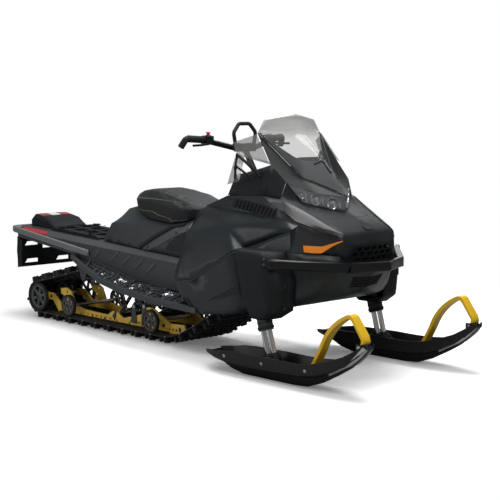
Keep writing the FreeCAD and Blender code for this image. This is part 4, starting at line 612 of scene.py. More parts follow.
def overlap_line(belly, skin, side):
    """Spots on the side panel's lower edge, found by halving where it starts to cover the belly pan."""
    start, pitch, lowest, highest, outside = 0.262, 0.0098, 0.385, 0.70, side * 0.7
    line, way = [], Vector((0, -side, 0))
    for k in range(44):
        x, a, b = start + pitch * k, lowest, highest
        for _ in range(12):
            z = (a + b) / 2
            near = [s.ray_cast(Vector((x, outside, z)), way)[3] or math.inf for s in (belly, skin)]
            a, b = (a, z) if near[1] < near[0] else (z, b)
        place, normal, _, _ = skin.ray_cast(Vector((x, outside, b + 0.002)), way)
        if place is not None and b < highest - 0.01:
            line.append((place, normal))
    return line


def screen_clip(gloss, screen):
    """Clip on the middle of the screen."""
    strip(gloss, screen, [(876, -46, 1024), (893, 0, 1034), (876, 46, 1024)], 0.006, 0.005, 0.6)
    strip(gloss, screen, [(893, 0, 1034), (945, 0, 980)], 0.010, 0.005, 0.6)


def hood_flank(gloss, dark, amber, hood, m):
    """Glossy strake, the hollow under it drawn as painted shade, and the amber reflector in the hollow's
    lower edge.
    """
    patch(gloss, hood,
          m((868, -262, 849), (960, -232, 810), (1060, -208, 763), (1140, -190, 726), (1190, -182, 702)),
          m((905, -288, 800), (980, -284, 752), (1060, -250, 722), (1130, -214, 697), (1193, -188, 672)),
          0.0035, 0.002, 28, 6)
    patch(dark, hood, m((1006, -297, 722), (1060, -262, 700), (1120, -228, 682), (1184, -192, 664)),
          m((1008, -322, 646), (1050, -293, 646), (1110, -249, 648), (1160, -216, 660)),
          0.0008, 0.001, 20, 5)
    patch(amber, hood,
          m((1043, -297, 646), (1081, -270, 644), (1116, -245, 643), (1158, -215, 659),
            (1194, -188, 673)),
          m((1052, -301, 616), (1088, -277, 612), (1120, -252, 612), (1160, -218, 646),
            (1196, -187, 669)),
          0.004, 0.002, 24, 3)


def louvres(dark, fins, skin, m):
    """Dark band of painted shade on the side panel where the louvres open, with slanting fins."""
    patch(dark, skin, m((535, -262, 850), (640, -276, 838), (760, -288, 826), (868, -297, 800)),
          m((515, -262, 800), (640, -280, 785), (760, -291, 768), (850, -298, 756)), 0.0008, 0.001, 24, 4)
    for k in range(11):
        x, y = 540 + 29 * k, -262 - k * 3
        strip(fins, skin, m((x, y, 803 - 3.6 * k), (x + 34, y, 843 - 3.3 * k)), 0.0065, 0.0055, 0.35)


def belly_flank(dark, fins, lip_highlights, belly, m):
    """Mesh vent at the belly's rear corner with painted shade behind it; on its flank a hollow of painted
    shade and a lip of painted highlight.
    """
    patch(dark, belly, m((300, -410, 330), (345, -408, 326)), m((352, -402, 282), (378, -400, 276)),
          0.001, 0.001, 8, 6)
    for k in range(5):
        strip(fins, belly, m((303 + 10 * k, -409, 326 - 9.5 * k), (341 + 7 * k, -407, 326 - 10.5 * k)),
              0.0012, 0.003, least=2)
    patch(dark, belly, m((480, -398, 333), (589, -395, 383), (686, -382, 428)),
          m((481, -398, 330), (592, -394, 356), (692, -378, 386)), 0.001, 0.001, 16, 4)
    strip(lip_highlights, belly, m((483, -398, 339), (592, -394, 387), (684, -382, 432)), 0.0022, 0.0030, 0.5)


def panel_overlap(seams_and_shadow, lip_highlights, belly, skin, side):
    """Painted shadow line where the side panel overlaps the belly pan, and a painted highlight on the lip
    below it.
    """
    overlap = overlap_line(belly, skin, side)
    if len(overlap) > 2:
        bar_along(seams_and_shadow, overlap, 0.0042, 0.0008, 0.9)
        strip(lip_highlights, belly, [(p - Vector((0, 0, 0.011))) * 1000 for p, _ in overlap], 0.004, 0.0045, 0.3)


def seam_lines(seams_and_shadow, hood, pods, belly, skin, m):
    for surface_skin, *line in (
            (hood, (868, -262, 850), (960, -232, 811), (1060, -208, 764), (1140, -188, 727),
             (1190, -180, 703)),
            (hood, (1060, -150, 770), (1077, -110, 767), (1093, -66, 767), (1098, 0, 767)),
            (hood, (1192, -178, 700), (1206, -142, 682), (1221, -109, 660)),
            (pods, (1021, -366, 520), (1021, -366, 441), (1018, -364, 399), (1010, -364, 345)),
            (pods, (868, -466, 600), (912, -470, 480), (950, -467, 370), (962, -460, 310)),
            (belly, (1066, -270, 570), (1066, -262, 500), (1050, -248, 440), (1034, -232, 400)),
            (belly, (1185, -150, 540), (1150, -170, 470), (1120, -170, 425)),
            (skin, (300, -245, 790), (420, -262, 745), (560, -330, 725), (700, -330, 700)),
            (skin, (262, -345, 590), (300, -392, 450), (330, -412, 428))):
        strip(seams_and_shadow, surface_skin, m(*line), 0.0011, 0.0004)


def mounts_and_fasteners(fins, steel, hood, pods, belly, skin, m, at):
    """Bumper mounts and bolts on the leg pods, and fasteners on the panels."""
    patch(fins, pods, m((925, -466, 598), (985, -455, 600)), m((925, -466, 548), (1004, -450, 548)),
          0.007, 0.001, 8, 4)
    patch(fins, pods, m((1018, -440, 482), (1020, -376, 482)), m((1018, -440, 438), (1020, -376, 438)),
          0.006, 0.001, 6, 4)
    for place, axis in (((1028, -404, 460), (1, 0, 0)), ((1024, -404, 352), (1, 0, 0)),
                        ((955, -474, 585), (0, -1, 0)), ((955, -474, 560), (0, -1, 0))):
        bolt(steel, at(*place), m(axis)[0], 0.0065, 0.0039)
    for surface_skin, place in (
            (skin, (430, -262, 770)), (skin, (820, -310, 738)), (skin, (280, -352, 640)),
            (skin, (600, -400, 585)), (belly, (470, -410, 440)), (belly, (640, -396, 330)),
            (belly, (1090, -262, 470)), (hood, (900, -285, 815))):
        bolt(steel, *spot_on(surface_skin, m(place)[0]), 0.0045, 0.0016)


def screen_edges(apron, seams_and_shadow, screen, m):
    """Black lower part of the screen and its side edges."""
    patch(apron, screen,
          m((700, -182, 1142), (749, -144, 1094), (794, -104, 1055), (836, -63, 1035), (893, -0.5, 1028)),
          m((704, -201, 1128), (760, -171, 1070), (856, -117, 962), (950, -62, 911), (1054, -0.5, 868)),
          0.0012, 0.0008, 30, 12)
    patch(seams_and_shadow, screen, m((662, -222, 1172), (760, -170, 1070), (856, -117, 962)),
          m((666, -212, 1172), (766, -160, 1070), (862, -108, 962)), 0.0016, 0.0008, 30, 2)


def lip_mesh(dark, fins, belly, m):
    """Mesh behind the lower lip, over a dark patch of painted shade."""
    patch(dark, belly, m((1190, -110, 494), (1194, -60, 494), (1196, -0.5, 494)),
          m((1170, -100, 440), (1176, -60, 436), (1180, -0.5, 434)), 0.0008, 0.001, 16, 6)
    for k in range(4):
        x, z = 1192 - 7 * k, 490 - 17 * k
        strip(fins, belly, m((x, -106 + 2 * k, z), (x + 4, -0.5, z)), 0.0013, 0.004)
    for y in range(-96, 14, 22):
        strip(fins, belly, m((1193, y, 492), (1172, y + 4, 438)), 0.0011, 0.0035)


def nose_badge(steel, hood):
    """Bare round badge on the nose."""
    spot, normal = spot_on(hood, (1182, 0, 726))
    badge = [(0, 0.002), (0.018, 0.002), (0.019, 0.0035), (0.0225, 0.0035), (0.0235, 0.001),
             (0.0235, -0.002), (0, -0.002)]
    turned(steel, spot + normal * 0.001, normal, badge, 32)


def body_details():
    hood, belly, pods, screen, right, left = (skin_of(panels[node]) for node in (
        "hood", "belly_pan", "leg_shrouds", "windshield", "side_panel_right", "side_panel_left"))
    seams_and_shadow, gloss, amber, dark, fins, apron, steel, lip_highlights = (bmesh.new() for _ in range(8))
    screen_clip(gloss, screen)
    for side, skin in ((-1, right), (1, left)):
        m, at = sided(side)
        hood_flank(gloss, dark, amber, hood, m)
        louvres(dark, fins, skin, m)
        belly_flank(dark, fins, lip_highlights, belly, m)
        panel_overlap(seams_and_shadow, lip_highlights, belly, skin, side)
        seam_lines(seams_and_shadow, hood, pods, belly, skin, m)
        mounts_and_fasteners(fins, steel, hood, pods, belly, skin, m, at)
        screen_edges(apron, seams_and_shadow, screen, m)
        lip_mesh(dark, fins, belly, m)
    nose_badge(steel, hood)
    # seam bars, with the painted shadow line of the panel overlap among them
    finish_piece("body_seams_and_shadow_line", seams_and_shadow, "dark", 32)
    # the lips in the lighter plastic are painted highlights
    finish_piece("belly_lip_highlights", lip_highlights, "base", 50)
    finish_piece("screen_apron", apron, "body")
    finish_piece("hood_strakes", gloss, "gloss")
    finish_piece("side_reflectors", amber, "amber")
    # the dark patches in hollows, vents and louvres are painted shade
    finish_piece("painted_recess_shade", dark, "dark")
    finish_piece("body_fins", fins, "body_rough")
    finish_piece("body_fasteners", steel, "steel_dark")


def lamp_details():
    """Black bowls, chrome reflectors and projector lenses behind the clear lamps; a dark plate behind the
    grille as painted shade.
    """
    bowls, chrome, glass = bmesh.new(), bmesh.new(), bmesh.new()
    for side in (-1, 1):
        m, at = sided(side)
        inset = lambda x, y, z, inward=30: (x - inward, y * 0.93, z + 2)
        top = m(inset(1060, 0, 862), inset(968, -111, 880), inset(861, -228, 937, 24))
        low = m(inset(1050, 0, 795), inset(974, -92, 815), inset(913, -166, 838), inset(861, -228, 937, 22))
        sheet(bowls, [[bowls.verts.new(p.lerp(q, k / 4)) for k in range(5)]
                      for p, q in zip(resampled(mm(top), 12), resampled(mm(low), 12))])
        for place, size in (((1002, -52, 832), 0.024), ((950, -112, 850), 0.024), ((905, -165, 876), 0.017)):
            axis = Vector((0.80, side * 0.55, -0.15)).normalized()
            bowl, projector = ([(size * share, h) for share, h in profile] for profile in (
                ((0.55, -0.012), (0.8, -0.004), (1, 0.010), (1.08, 0.011), (1.1, 0.007), (0.9, -0.012),
                 (0.6, -0.016)),
                ((0, 0.009), (0.3, 0.008), (0.52, 0.003), (0.6, -0.004), (0.6, -0.012), (0, -0.012))))
            turned(chrome, at(*place), axis, bowl, 28, ring=True)
            turned(glass, at(*place), axis, projector, 24)
        for k in range(7):
            t = (k + 0.5) / 7
            p = at(1040 - 120 * t, -14 - 150 * t, 806 + 32 * t)
            q = p + Vector((-0.006, 0, 0.030 + 0.016 * t))
            pipe(chrome, [p, p.lerp(q, 0.5), q], 0.0042, 6)
    finish_piece("lamp_bowls", bowls, "dark")
    finish_piece("lamp_reflectors", chrome, "mirror")
    finish_piece("lamp_projectors", glass, "lamp_core")
    back, mesh = bmesh.new(), bmesh.new()
    # dark plate behind the grille: painted shade behind its openings
    box_piece(back, (1168, -166, 558), (1172, 166, 655))
    box_piece(back, (800, -84, 1002), (818, 84, 1052), leaning(-28))
    shade_plate_and_gauge = finish_piece("grille_shade_plate_and_gauge", back, "dark", 32)
    modified(shade_plate_and_gauge, "BEVEL", width=0.003, segments=2, limit_method="ANGLE", angle_limit=math.radians(35))
    baked(shade_plate_and_gauge, 40)
    for y in range(-140, 141, 20):
        pipe(mesh, mm([(1180, y, 570), (1183, y + 6, 605), (1180, y, 640)]), 0.0016, 5)
    for z in range(578, 630, 17):
        pipe(mesh, mm([(1178, -148, z), (1184, 0, z), (1178, 148, z)]), 0.0016, 5)
    finish_piece("grille_mesh", mesh, "steel_dark", 32)


body_details()
lamp_details()


# track

BELT, HALF_BELT, BARS = 0.007, 0.203, 61    # the belt's thickness and half width, and its number of lug rows
WEB, LUG, TALL_LUG = 0.033, 0.035, 0.0375   # heights of a row's web and of the lugs on it
LOOP = [(-1.334, 0.1343, 0.0893), (-0.823, 0.300, 0.0503), (0.2985, 0.322, 0.0863), (-0.150, 0.5133, 0.4683)]


def loop_path(offset):
    """The belt's course round LOOP (x, z, radius) as arcs and straight runs, each with its length."""
    turns, pieces = [], []
    after = LOOP[1:] + LOOP[:1]
    for (x0, z0, r0), (x1, z1, r1) in zip(LOOP, after):
        run = math.atan2(z1 - z0, x1 - x0)
        turns.append(run + math.pi / 2 - math.asin((r0 - r1) / math.hypot(x1 - x0, z1 - z0)))
    spot = lambda x, z, r, a: (x + (r + offset) * math.cos(a), z + (r + offset) * math.sin(a))
    for circle, following, first, last in zip(LOOP, after, turns[-1:] + turns, turns):
        while last > first:
            last -= 2 * math.pi
        while last < first - 2 * math.pi:
            last += 2 * math.pi
        x, z, r = circle
        pieces.append(("arc", (r + offset) * (first - last), (x, z, r + offset, first, last)))
        a, b = spot(*circle, last), spot(*following, last)
        pieces.append(("run", math.dist(a, b), (a, b, last)))
    return pieces


def loop_places(offset, count, start=0.0):
    """Evenly spaced (x, z, outward angle) along the belt's course."""
    pieces = loop_path(offset)
    total = sum(p[1] for p in pieces)
    places = []
    for number in range(count):
        left = (total * (number + start) / count) % total
        for kind, length, data in pieces:
            if left <= length:
                break
            left -= length
        if kind == "arc":
            x, z, r, first, _ = data
            a = first - left / r
            places.append((x + r * math.cos(a), z + r * math.sin(a), a))
        else:
            (ax, az), (bx, bz), a = data
            s = left / length
            places.append((ax + (bx - ax) * s, az + (bz - az) * s, a))
    return places


def on_loop(place):
    x, z, a = place
    out, way = Vector((math.cos(a), 0, math.sin(a))), Vector((math.sin(a), 0, -math.cos(a)))
    return lambda o, y, s: Vector((x, y, z)) + out * o + way * s


def block(bm, at, low, high, top=None):
    """Box from low to high in a local frame (out, across, along); top draws its far face in."""
    corners = []
    for i, out in enumerate((low[0], high[0])):
        for across, along in ((low[1], low[2]), (high[1], low[2]), (high[1], high[2]), (low[1], high[2])):
            if i and top:
                mid_y, mid_x = (low[1] + high[1]) / 2, (low[2] + high[2]) / 2
                across, along = mid_y + (across - mid_y) * top[0], mid_x + (along - mid_x) * top[1]
            corners.append(bm.verts.new(at(out, across, along)))
    for quad in ((3, 2, 1, 0), (4, 5, 6, 7), (0, 1, 5, 4), (1, 2, 6, 5), (2, 3, 7, 6), (3, 0, 4, 7)):
        bm.faces.new([corners[i] for i in quad])


def make_track():
    belt, clips = bmesh.new(), bmesh.new()
    half = HALF_BELT
    profile = [(-half + 0.001, 0.0), (-half, 0.002), (-half, BELT - 0.002), (-half + 0.002, BELT),
               (half - 0.002, BELT), (half, BELT - 0.002), (half, 0.002), (half - 0.001, 0.0)]
    bridge(belt, [[belt.verts.new(on_loop(place)(out, y, 0)) for y, out in profile]
                  for place in loop_places(0.0, BARS * 5)], closed=True)
    third = 2 * half / 3
    for number, place in enumerate(loop_places(BELT, BARS)):
        at, odd = on_loop(place), number % 2
        inset = 0.008 + 0.022 * odd
        spans = [(inset - half, third - 0.014 - inset),
                 (0.010 - third / 2 - 0.008 * odd, third - 0.020 + 0.016 * odd),
                 (half - third + 0.014, third - 0.014 - inset)]
        block(belt, at, (-0.001, -half + 0.004, -0.010), (0.0022, half - 0.004, 0.010), (1.0, 0.7))
        for begin, width in spans:
            block(belt, at, (0.0, begin, -0.0095), (WEB, begin + width, 0.0095), (0.98, 0.60))
            for i in range(5):
                y = begin + width * (i + 0.5) / 5
                tall = TALL_LUG if (i + number) % 2 else LUG
                block(belt, at, (0.0, y - 0.0056, -0.0150), (tall, y + 0.0056, 0.0140), (0.78, 0.60))
    # drive teeth inside the belt, and the clips between its bars
    for number, place in enumerate(loop_places(0.0, BARS, 0.5)):
        at = on_loop(place)
        for y in (-0.062, 0.062):
            block(belt, at, (-0.018, y - 0.014, -0.014), (0.001, y + 0.014, 0.014))
        for y in (-0.118, 0.118):
            block(clips, at, (-0.0032, y - 0.011, -0.013), (0.0, y + 0.011, 0.013), (0.8, 0.8))
        for y in (-half, half) if number % 2 else ():
            block(clips, at, (0.0015, y - 0.003, -0.007), (0.0055, y + 0.0012, 0.007))
    finish_piece("track_belt_and_lugs", belt, "rubber", 24, stands_for="track")
    clips = from_bmesh("track_clips", clips, "steel")
    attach(clips, "chassis")


make_track()


# wheels and suspension

WHEELS = [(-1334, y, 134.3, 89, 6) for y in (-185, 0, 185)] \
    + [(x, y, 111.3, 66, 6) for x in (-1022, -238) for y in (-185, 185)] \
    + [(x, y, z, 42, 5) for x, z in ((-463, 163.3), (-370, 173.3)) for y in (-84, 84)] \
    + [(-823, y, 300, 50, 5) for y in (-130, 130)]


def make_wheels():
    tyres, discs, caps = bmesh.new(), bmesh.new(), bmesh.new()
    for x, y, z, radius, spokes in WHEELS:
        axis, centre, r = Vector((0, -1 if y <= 0 else 1, 0)), Vector((x, y, z)) * 0.001, radius * 0.001
        tyre = [(r * 0.80, 0.0088), (r * 0.83, 0.0106), (r - 0.003, 0.0106), (r, 0.0085)]
        disc = [(r * 0.805, 0.0075), (r * 0.78, 0.0098), (r * 0.71, 0.0088), (r * 0.69, 0.004)]
        turned(tyres, centre, axis, doubled(tyre), 44, ring=True)
        turned(discs, centre, axis, doubled(disc), 44, ring=True)
        hub = 0.021 if radius > 60 else 0.017
        turned(discs, centre, axis, [(0.0103, 0.0108), (hub * 0.7, 0.0108), (hub * 0.8, 0.009), (hub, 0.008),
                                     (hub * 1.12, 0.004), (hub * 1.12, -0.004), (hub, -0.008),
                                     (hub * 0.7, -0.0108), (0.0103, -0.0108)], 28, ring=True)
        for k in range(spokes):
            a = 2 * math.pi * k / spokes + 0.3
            out, way = Vector((math.cos(a), 0, math.sin(a))), Vector((-math.sin(a), 0, math.cos(a)))
            at = lambda o, n, s: centre + out * o + axis * n + way * s
            block(discs, at, (hub * 0.95, -0.0045, -0.0085), (r * 0.74, 0.0045, 0.0085), (1.0, 0.75))
            block(discs, at, (hub * 1.0, -0.007, -0.0022), (r * 0.735, 0.0078, 0.0022), (0.9, 0.9))
        if abs(y) > 100:
            bolt(caps, centre + axis * (0.0165 if abs(y) > 180 else 0.011), axis, 0.0085, 0.005)
    finish_piece("wheel_tyres", tyres, "tyre", 30, stands_for="idler_wheels")
    finish_piece("wheel_discs", discs, "wheel", 30)
    finish_piece("wheel_bolts", caps, "steel_dark", 30)


def make_suspension():
    springs, links, shoes, bolts = (bmesh.new() for _ in range(4))
    coils, steps, coil, wire, across = 8, 14, 0.0235, 0.0036, Vector((0, 1, 0))
    for damper in (((-306, 0, 123.3), (20, 0, 303.3)), ((-648, 0, 85.3), (-430, 0, 345.3))):
        a, b = mm(damper)
        way = (b - a).normalized()
        lift = way.cross(across)
        start, end = 0.3 * (b - a).length + 0.012, (b - a).length - 0.034
        course = []
        for k in range(coils * steps + 1):
            t = k / (coils * steps)
            angle = 2 * math.pi * coils * t
            course.append(a + way * (start + (end - start) * t)
                          + (across * math.cos(angle) + lift * math.sin(angle)) * coil)
        pipe(springs, course, wire, 8)
        collar = [(0, 0.0), (0.02, 0.0), (0.0205, 0.004), (0.0205, 0.03), (0.02, 0.034), (0, 0.034)]
        turned(links, a + way * 0.05, way, collar, 24)
    for side in (-1, 1):
        m, at = sided(side)
        for radius, *line in ((0.0045, (-700, -128, 330), (-560, -134, 150)),
                              (0.006, (-560, -104, 140), (-604, -104, 240), (-690, -104, 330)),
                              (0.0045, (-330, -150, 330), (-262, -150, 190)),
                              (0.0045, (-302, -152, 330), (-236, -152, 186)),
                              (0.007, (-640, -92, 96), (-560, -92, 128), (-480, -92, 152), (-300, -92, 130))):
            pipe(links, curved(m(*line), 4), radius, 8)
        box_piece(shoes, *m((-1206, -111, 45.4), (-150, -125.5, 54)))
        for x in range(-1100, -160, 118):
            bolt(bolts, at(x, -124.2, 60), (0, side, 0), 0.0045, 0.002)
        for x, z in ((-1290, 134.3), (-1080, 150), (-300, 160), (-640, 105), (-200, 85), (-60, 80)):
            bolt(bolts, at(x, -124.2, z), (0, side, 0), 0.0085, 0.004)
        # torsion arm blocks between rails and hangers
        box_piece(links, *m((-672, -96, 300), (-628, -110, 352)), leaning(38))
        box_piece(links, *m((-705, -134, 292), (-660, -146, 372)), leaning(-30))
    finish_piece("springs", springs, "spring", 60)
    finish_piece("links", links, "steel_dark")
    finish_piece("slider_shoes", shoes, "dark", 32)
    finish_piece("rail_bolts", bolts, "steel_dark", 32)


make_wheels()
make_suspension()


# tunnel, boards and rear end

SHOULDER = [(-1505, 541), (-925, 511.3), (-300, 479.3), (330, 447)]     # x, z of the tunnel's upper fold
SKIRT = [(-1505, 499), (-925, 437.3), (-300, 319.3), (330, 287)]        # x, z of its lower edge
BOARD = [(-896, -246, 426), (-751, -285, 388), (-512, -335, 330), (-290, -365, 302), (13, -392, 280),
         (300, -400, 271)]                                              # a board's outer edge


def along_of(x, values):
    """Value at x on a broken line of (x, value)."""
    for (x0, v0), (x1, v1) in zip(values, values[1:]):
        if x0 <= x <= x1:
            return v0 + (v1 - v0) * (x - x0) / (x1 - x0)
    return values[0][1] if x < values[0][0] else values[-1][1]


def stud(bm, place, low, high):
    """Small block round a place (m)."""
    box_piece(bm, (place + Vector(low)) * 1000, (place + Vector(high)) * 1000)


def tunnel_sides(edge, rivets, ribs, m, at, out):
    """Pale strip over the folded shoulder as a painted highlight, its rivets, and the pressed ribs of the
    skirt, pale as painted highlights.
    """
    fold = [(x, along_of(x, SHOULDER)) for x in (-1200, -925, -600, -300, 0, 225)]
    a, b = (resampled(mm(m(*line)), 20) for line in ([(x, -221.5, z + 0.6) for x, z in fold],
                                                     [(x, -185, z + 25.6) for x, z in fold]))
    lift = Vector((0, out.y * 0.56, 0.83)) * 0.0012
    for p, q, r, s in zip(a, b, a[1:], b[1:]):
        edge.faces.new([edge.verts.new(v + lift) for v in (p, q, s, r)])
    bmesh.ops.remove_doubles(edge, verts=edge.verts, dist=1e-5)
    for k in range(24):
        x = -1180 + 59 * k
        bolt(rivets, at(x, -222, along_of(x, SHOULDER) - 10), out, 0.0035, 0.0018, 10)
    for x0, z0, x1, z1 in ((-545, 430, -482, 480), (-440, 418, -370, 468), (-330, 404, -262, 456),
                           (-222, 392, -152, 446), (-700, 440, -655, 476)):
        p, q = at(x0, -222, z0), at(x1, -222, z1)
        bar_along(ribs, [(p.lerp(q, t / 4), out) for t in range(5)], 0.0135, 0.0075, 0.3)
    low = m(*[(x, -222, along_of(x, SKIRT) + 14) for x in (-1150, -925, -620, -300, 0, 240)])
    bar_along(ribs, [(p, out) for p in resampled(mm(low), 30)], 0.005, 0.003, 0.5)


def board_treads(mesh, m, at):
    """Rods along a board with small teeth, teeth on its rim, and struts to and fro."""
    for share in (0.25, 0.5, 0.75):
        line = [(x, -224 + (y + 224) * share, (along_of(x, SKIRT) + 12) * (1 - share) + (z + 1) * share)
                for x, y, z in [(-700, -297, 376)] + BOARD[2:5] + [(205, -398, 274)]]
        course = resampled(mm(m(*line)), 72)[::2]
        pipe(mesh, course, 0.0036, 6)
        for p in course:
            stud(mesh, p, (-0.004, -0.0025, 0.001), (0.004, 0.0025, 0.0095))
    rim = [(x, y + 9, z + 11) for x, y, z in [(-720, -294, 381)] + BOARD[2:5] + [(280, -400, 272)]]
    for p in resampled(mm(m(*rim)), 84):
        stud(mesh, p, (-0.0028, -0.005, -0.003), (0.0028, 0.005, 0.0045))
    for k in range(34):
        x = -680 + 26 * k
        y, z = (along_of(x, [(p[0], p[i]) for p in BOARD]) for i in (1, 2))
        a, b = at(x, -224, along_of(x, SKIRT) + 12), at(x + (18 if k % 2 else -18), y + 12, z)
        pipe(mesh, [a, a.lerp(b, 0.5) + Vector((0, 0, -0.002)), b], 0.0026, 6)


def rack_and_seat(rack, rivets, bracket, panel, hollow, base, m, at):
    """Rack knobs, seat bracket, and panel and hollow on the seat's flank, the hollow a dark patch of painted
    shade.
    """
    up = (0, 0, 1)
    knob = [(0.0095, 0.0), (0.022, 0.0), (0.024, 0.003), (0.024, 0.006), (0.019, 0.008),
            (0.0105, 0.0085), (0.0095, 0.006)]
    for x in (-1149.5, -849.5):
        turned(rack, at(x, -130, 573), up, knob, 28, ring=True)
    for x in (-1200, -1090, -1000, -910, -800):
        bolt(rivets, at(x, -146, along_of(x, SHOULDER) + 52), up, 0.005, 0.0025, 12)
    strip(bracket, base, m((-345, -180, 520), (-210, -176, 590), (-81, -172, 648), (20, -160, 690)),
          0.011, 0.009, 0.8, 0.002)
    patch(panel, base, m((-318, -184, 512), (-180, -178, 582), (-50, -176, 642), (62, -172, 672)),
          m((-290, -188, 500), (-160, -184, 545), (-40, -180, 600), (66, -176, 640)), 0.004, 0.002, 24, 4)
    patch(hollow, base, m((-105, -184, 528), (-80, -181, 566), (-20, -178, 602), (50, -177, 630)),
          m((-98, -185, 524), (-60, -184, 522), (0, -187, 522), (54, -186, 524)), 0.002, 0.002, 16, 5)
    for place in m((-262, -182, 528), (-20, -176, 625)):
        spot, normal = spot_on(base, place)
        bolt(rivets, spot + normal * 0.005, normal, 0.008, 0.004)


def tail_lenses(red, white, lamp, m):
    """Lamp lenses over the hump's top and down its back."""
    for lens, height, n, rows, *corners in (
            (red, 0.0025, 10, 6, (-1490, -112, 630), (-1490, -40, 636), (-1395, -104, 628),
             (-1395, -40, 630)),
            (white, 0.0025, 6, 6, (-1490, -33, 636), (-1490, 0, 636), (-1400, -33, 630), (-1400, 0, 630)),
            (red, 0.0012, 10, 4, (-1498, -112, 622), (-1498, -4, 626), (-1498, -112, 580),
             (-1498, -4, 580))):
        patch(lens, lamp, m(*corners[:2]), m(*corners[2:]), height, 0.001, n, rows)


def rear_details():
    edge, ribs, rivets, mesh, rack, red, white, bracket, panel, hollow = (bmesh.new() for _ in range(10))
    lamp, base = skin_of(shells["tail_lamp"]), skin_of(panels["seat_base"])
    for side in (-1, 1):
        m, at = sided(side)
        tunnel_sides(edge, rivets, ribs, m, at, Vector((0, side, 0)))
        board_treads(mesh, m, at)
        rack_and_seat(rack, rivets, bracket, panel, hollow, base, m, at)
        tail_lenses(red, white, lamp, m)
    # the pale shoulder strips and ribs are painted highlights
    finish_piece("tunnel_shoulder_highlights", edge, "shoulder", 32)
    finish_piece("tunnel_ribs_painted_highlight", ribs, "shoulder")
    finish_piece("rivets", rivets, "steel_dark")
    finish_piece("board_mesh", mesh, "alloy")
    finish_piece("rack_knobs", rack, "body_rough")
    finish_piece("tail_lenses", red, "lens_red")
    finish_piece("reversing_lens", white, "white")
    finish_piece("seat_brackets", bracket, "dark")
    finish_piece("seat_side_panels", panel, "shoulder")
    # the dark hollows on the seat's flanks are painted shade
    finish_piece("seat_side_hollow_shade", hollow, "dark")


rear_details()


# skis, legs and steering

STANCE, FOOT, LEG_LEAN = 406.5, 945, math.radians(16)   # a ski's y, its leg's foot in x, the leg's rake
SLEEVE, APART = 0.023, 0.0205   # radius of a leg's two sleeve tubes, and half their spacing


def ski_details(side, where):
    ski = skin_of(shells["ski_" + where])
    tips, ribs, bolts = (bmesh.new() for _ in range(3))
    middle = side * STANCE

    def drop(x, y):
        """Spot of the ski's upper face under a place."""
        place, normal, _, _ = ski.ray_cast(Vector((x, y, 320)) * 0.001, Vector((0, 0, -1)))
        return [(place, normal)] if place is not None and normal.z > 0.2 else []

    for lane in (-1, 1):
        outer, inner = middle + lane * 45, middle + lane * 17
        edges = ([(x, y, z) for x, z in line] for y, line in (
            (outer, ((1352, 96), (1400, 112), (1450, 145), (1512, 204), (1550, 243))),
            (inner, ((1330, 80), (1427, 131), (1469, 153), (1520, 192), (1558, 232)))))
        patch(tips, ski, *edges, 0.0012, 0.001, 26, 6)
    finish_piece("ski_tips_" + where, tips, "ski_grey", body="ski_" + where)
    # cleats along the ski, ribs across it, bolts in its flank and at the loop and the foot
    for x in range(FOOT - 262, FOOT + 287, 14):
        for lane in (-1, 1) if abs(x - FOOT) >= 50 else ():
            for place, _ in drop(x, middle + lane * 38):
                c = place * 1000
                box_piece(ribs, (c.x - 2.5, c.y - 8, c.z - 3), (c.x + 2.5, c.y + 8, c.z + 11))
    for x in range(FOOT - 372, FOOT + 279, 26):
        for lane in (-1, 1) if abs(x - FOOT) >= 62 else ():
            line = sum((drop(x, middle + lane * reach) for reach in (16, 34, 52, 66)), [])
            if len(line) > 1:
                bar_along(ribs, line, 0.003, 0.004, 0.5)
    for x, z in ((FOOT + 292, 100), (FOOT + 10, 92), (FOOT - 250, 92)):
        place = ski.ray_cast(Vector((x, middle + side * 140, z)) * 0.001, Vector((0, -side, 0)), 0.1)[0]
        if place is not None:
            bolt(bolts, place, (0, side, 0), 0.007, 0.003)
    for lane in (-1, 1):
        box_piece(ribs, (FOOT + 556, middle + lane * 25, 214), (FOOT + 588, middle + lane * 31, 252))
        for x, y, z, radius, height in ((FOOT + 573, 31, 236, 0.0085, 0.004),
                                        (FOOT, 36.5, 102, 0.011, 0.005)):
            bolt(bolts, Vector((x, middle + lane * y, z)) * 0.001, (0, lane, 0), radius, height)
    finish_piece("ski_ribs_" + where, ribs, "ski", body="ski_" + where)
    finish_piece("ski_bolts_" + where, bolts, "steel", body="ski_" + where)


def leg_rings(side, where):
    """Clamp rings round the leg sleeve, which is two tubes wide."""
    bm = bmesh.new()
    up, ahead = (Vector((x, 0, z)) for x, z in ((-math.sin(LEG_LEAN), math.cos(LEG_LEAN)),
                                               (math.cos(LEG_LEAN), math.sin(LEG_LEAN))))
    foot = Vector((FOOT, side * STANCE, 102)) * 0.001
    for reach, tall, over in ((0.146, 0.012, 0.0035), (0.176, 0.004, 0.002), (0.30, 0.02, 0.003)):
        outline = []
        for k in range(40):
            a = 2 * math.pi * k / 40
            half = APART if math.cos(a) > 0 else -APART
            outline.append(ahead * (half + math.cos(a) * (SLEEVE + over))
                           + Vector((0, math.sin(a) * (SLEEVE + over), 0)))
        inner = [p * 0.94 for p in outline]
        bridge(bm, [[bm.verts.new(foot + up * (reach + h) + p) for p in ring]
                    for ring, h in ((outline, 0), (outline, tall), (inner, tall), (inner, 0))], closed=True)
    finish_piece("leg_rings_" + where, bm, "body_rough", body="leg_" + where)


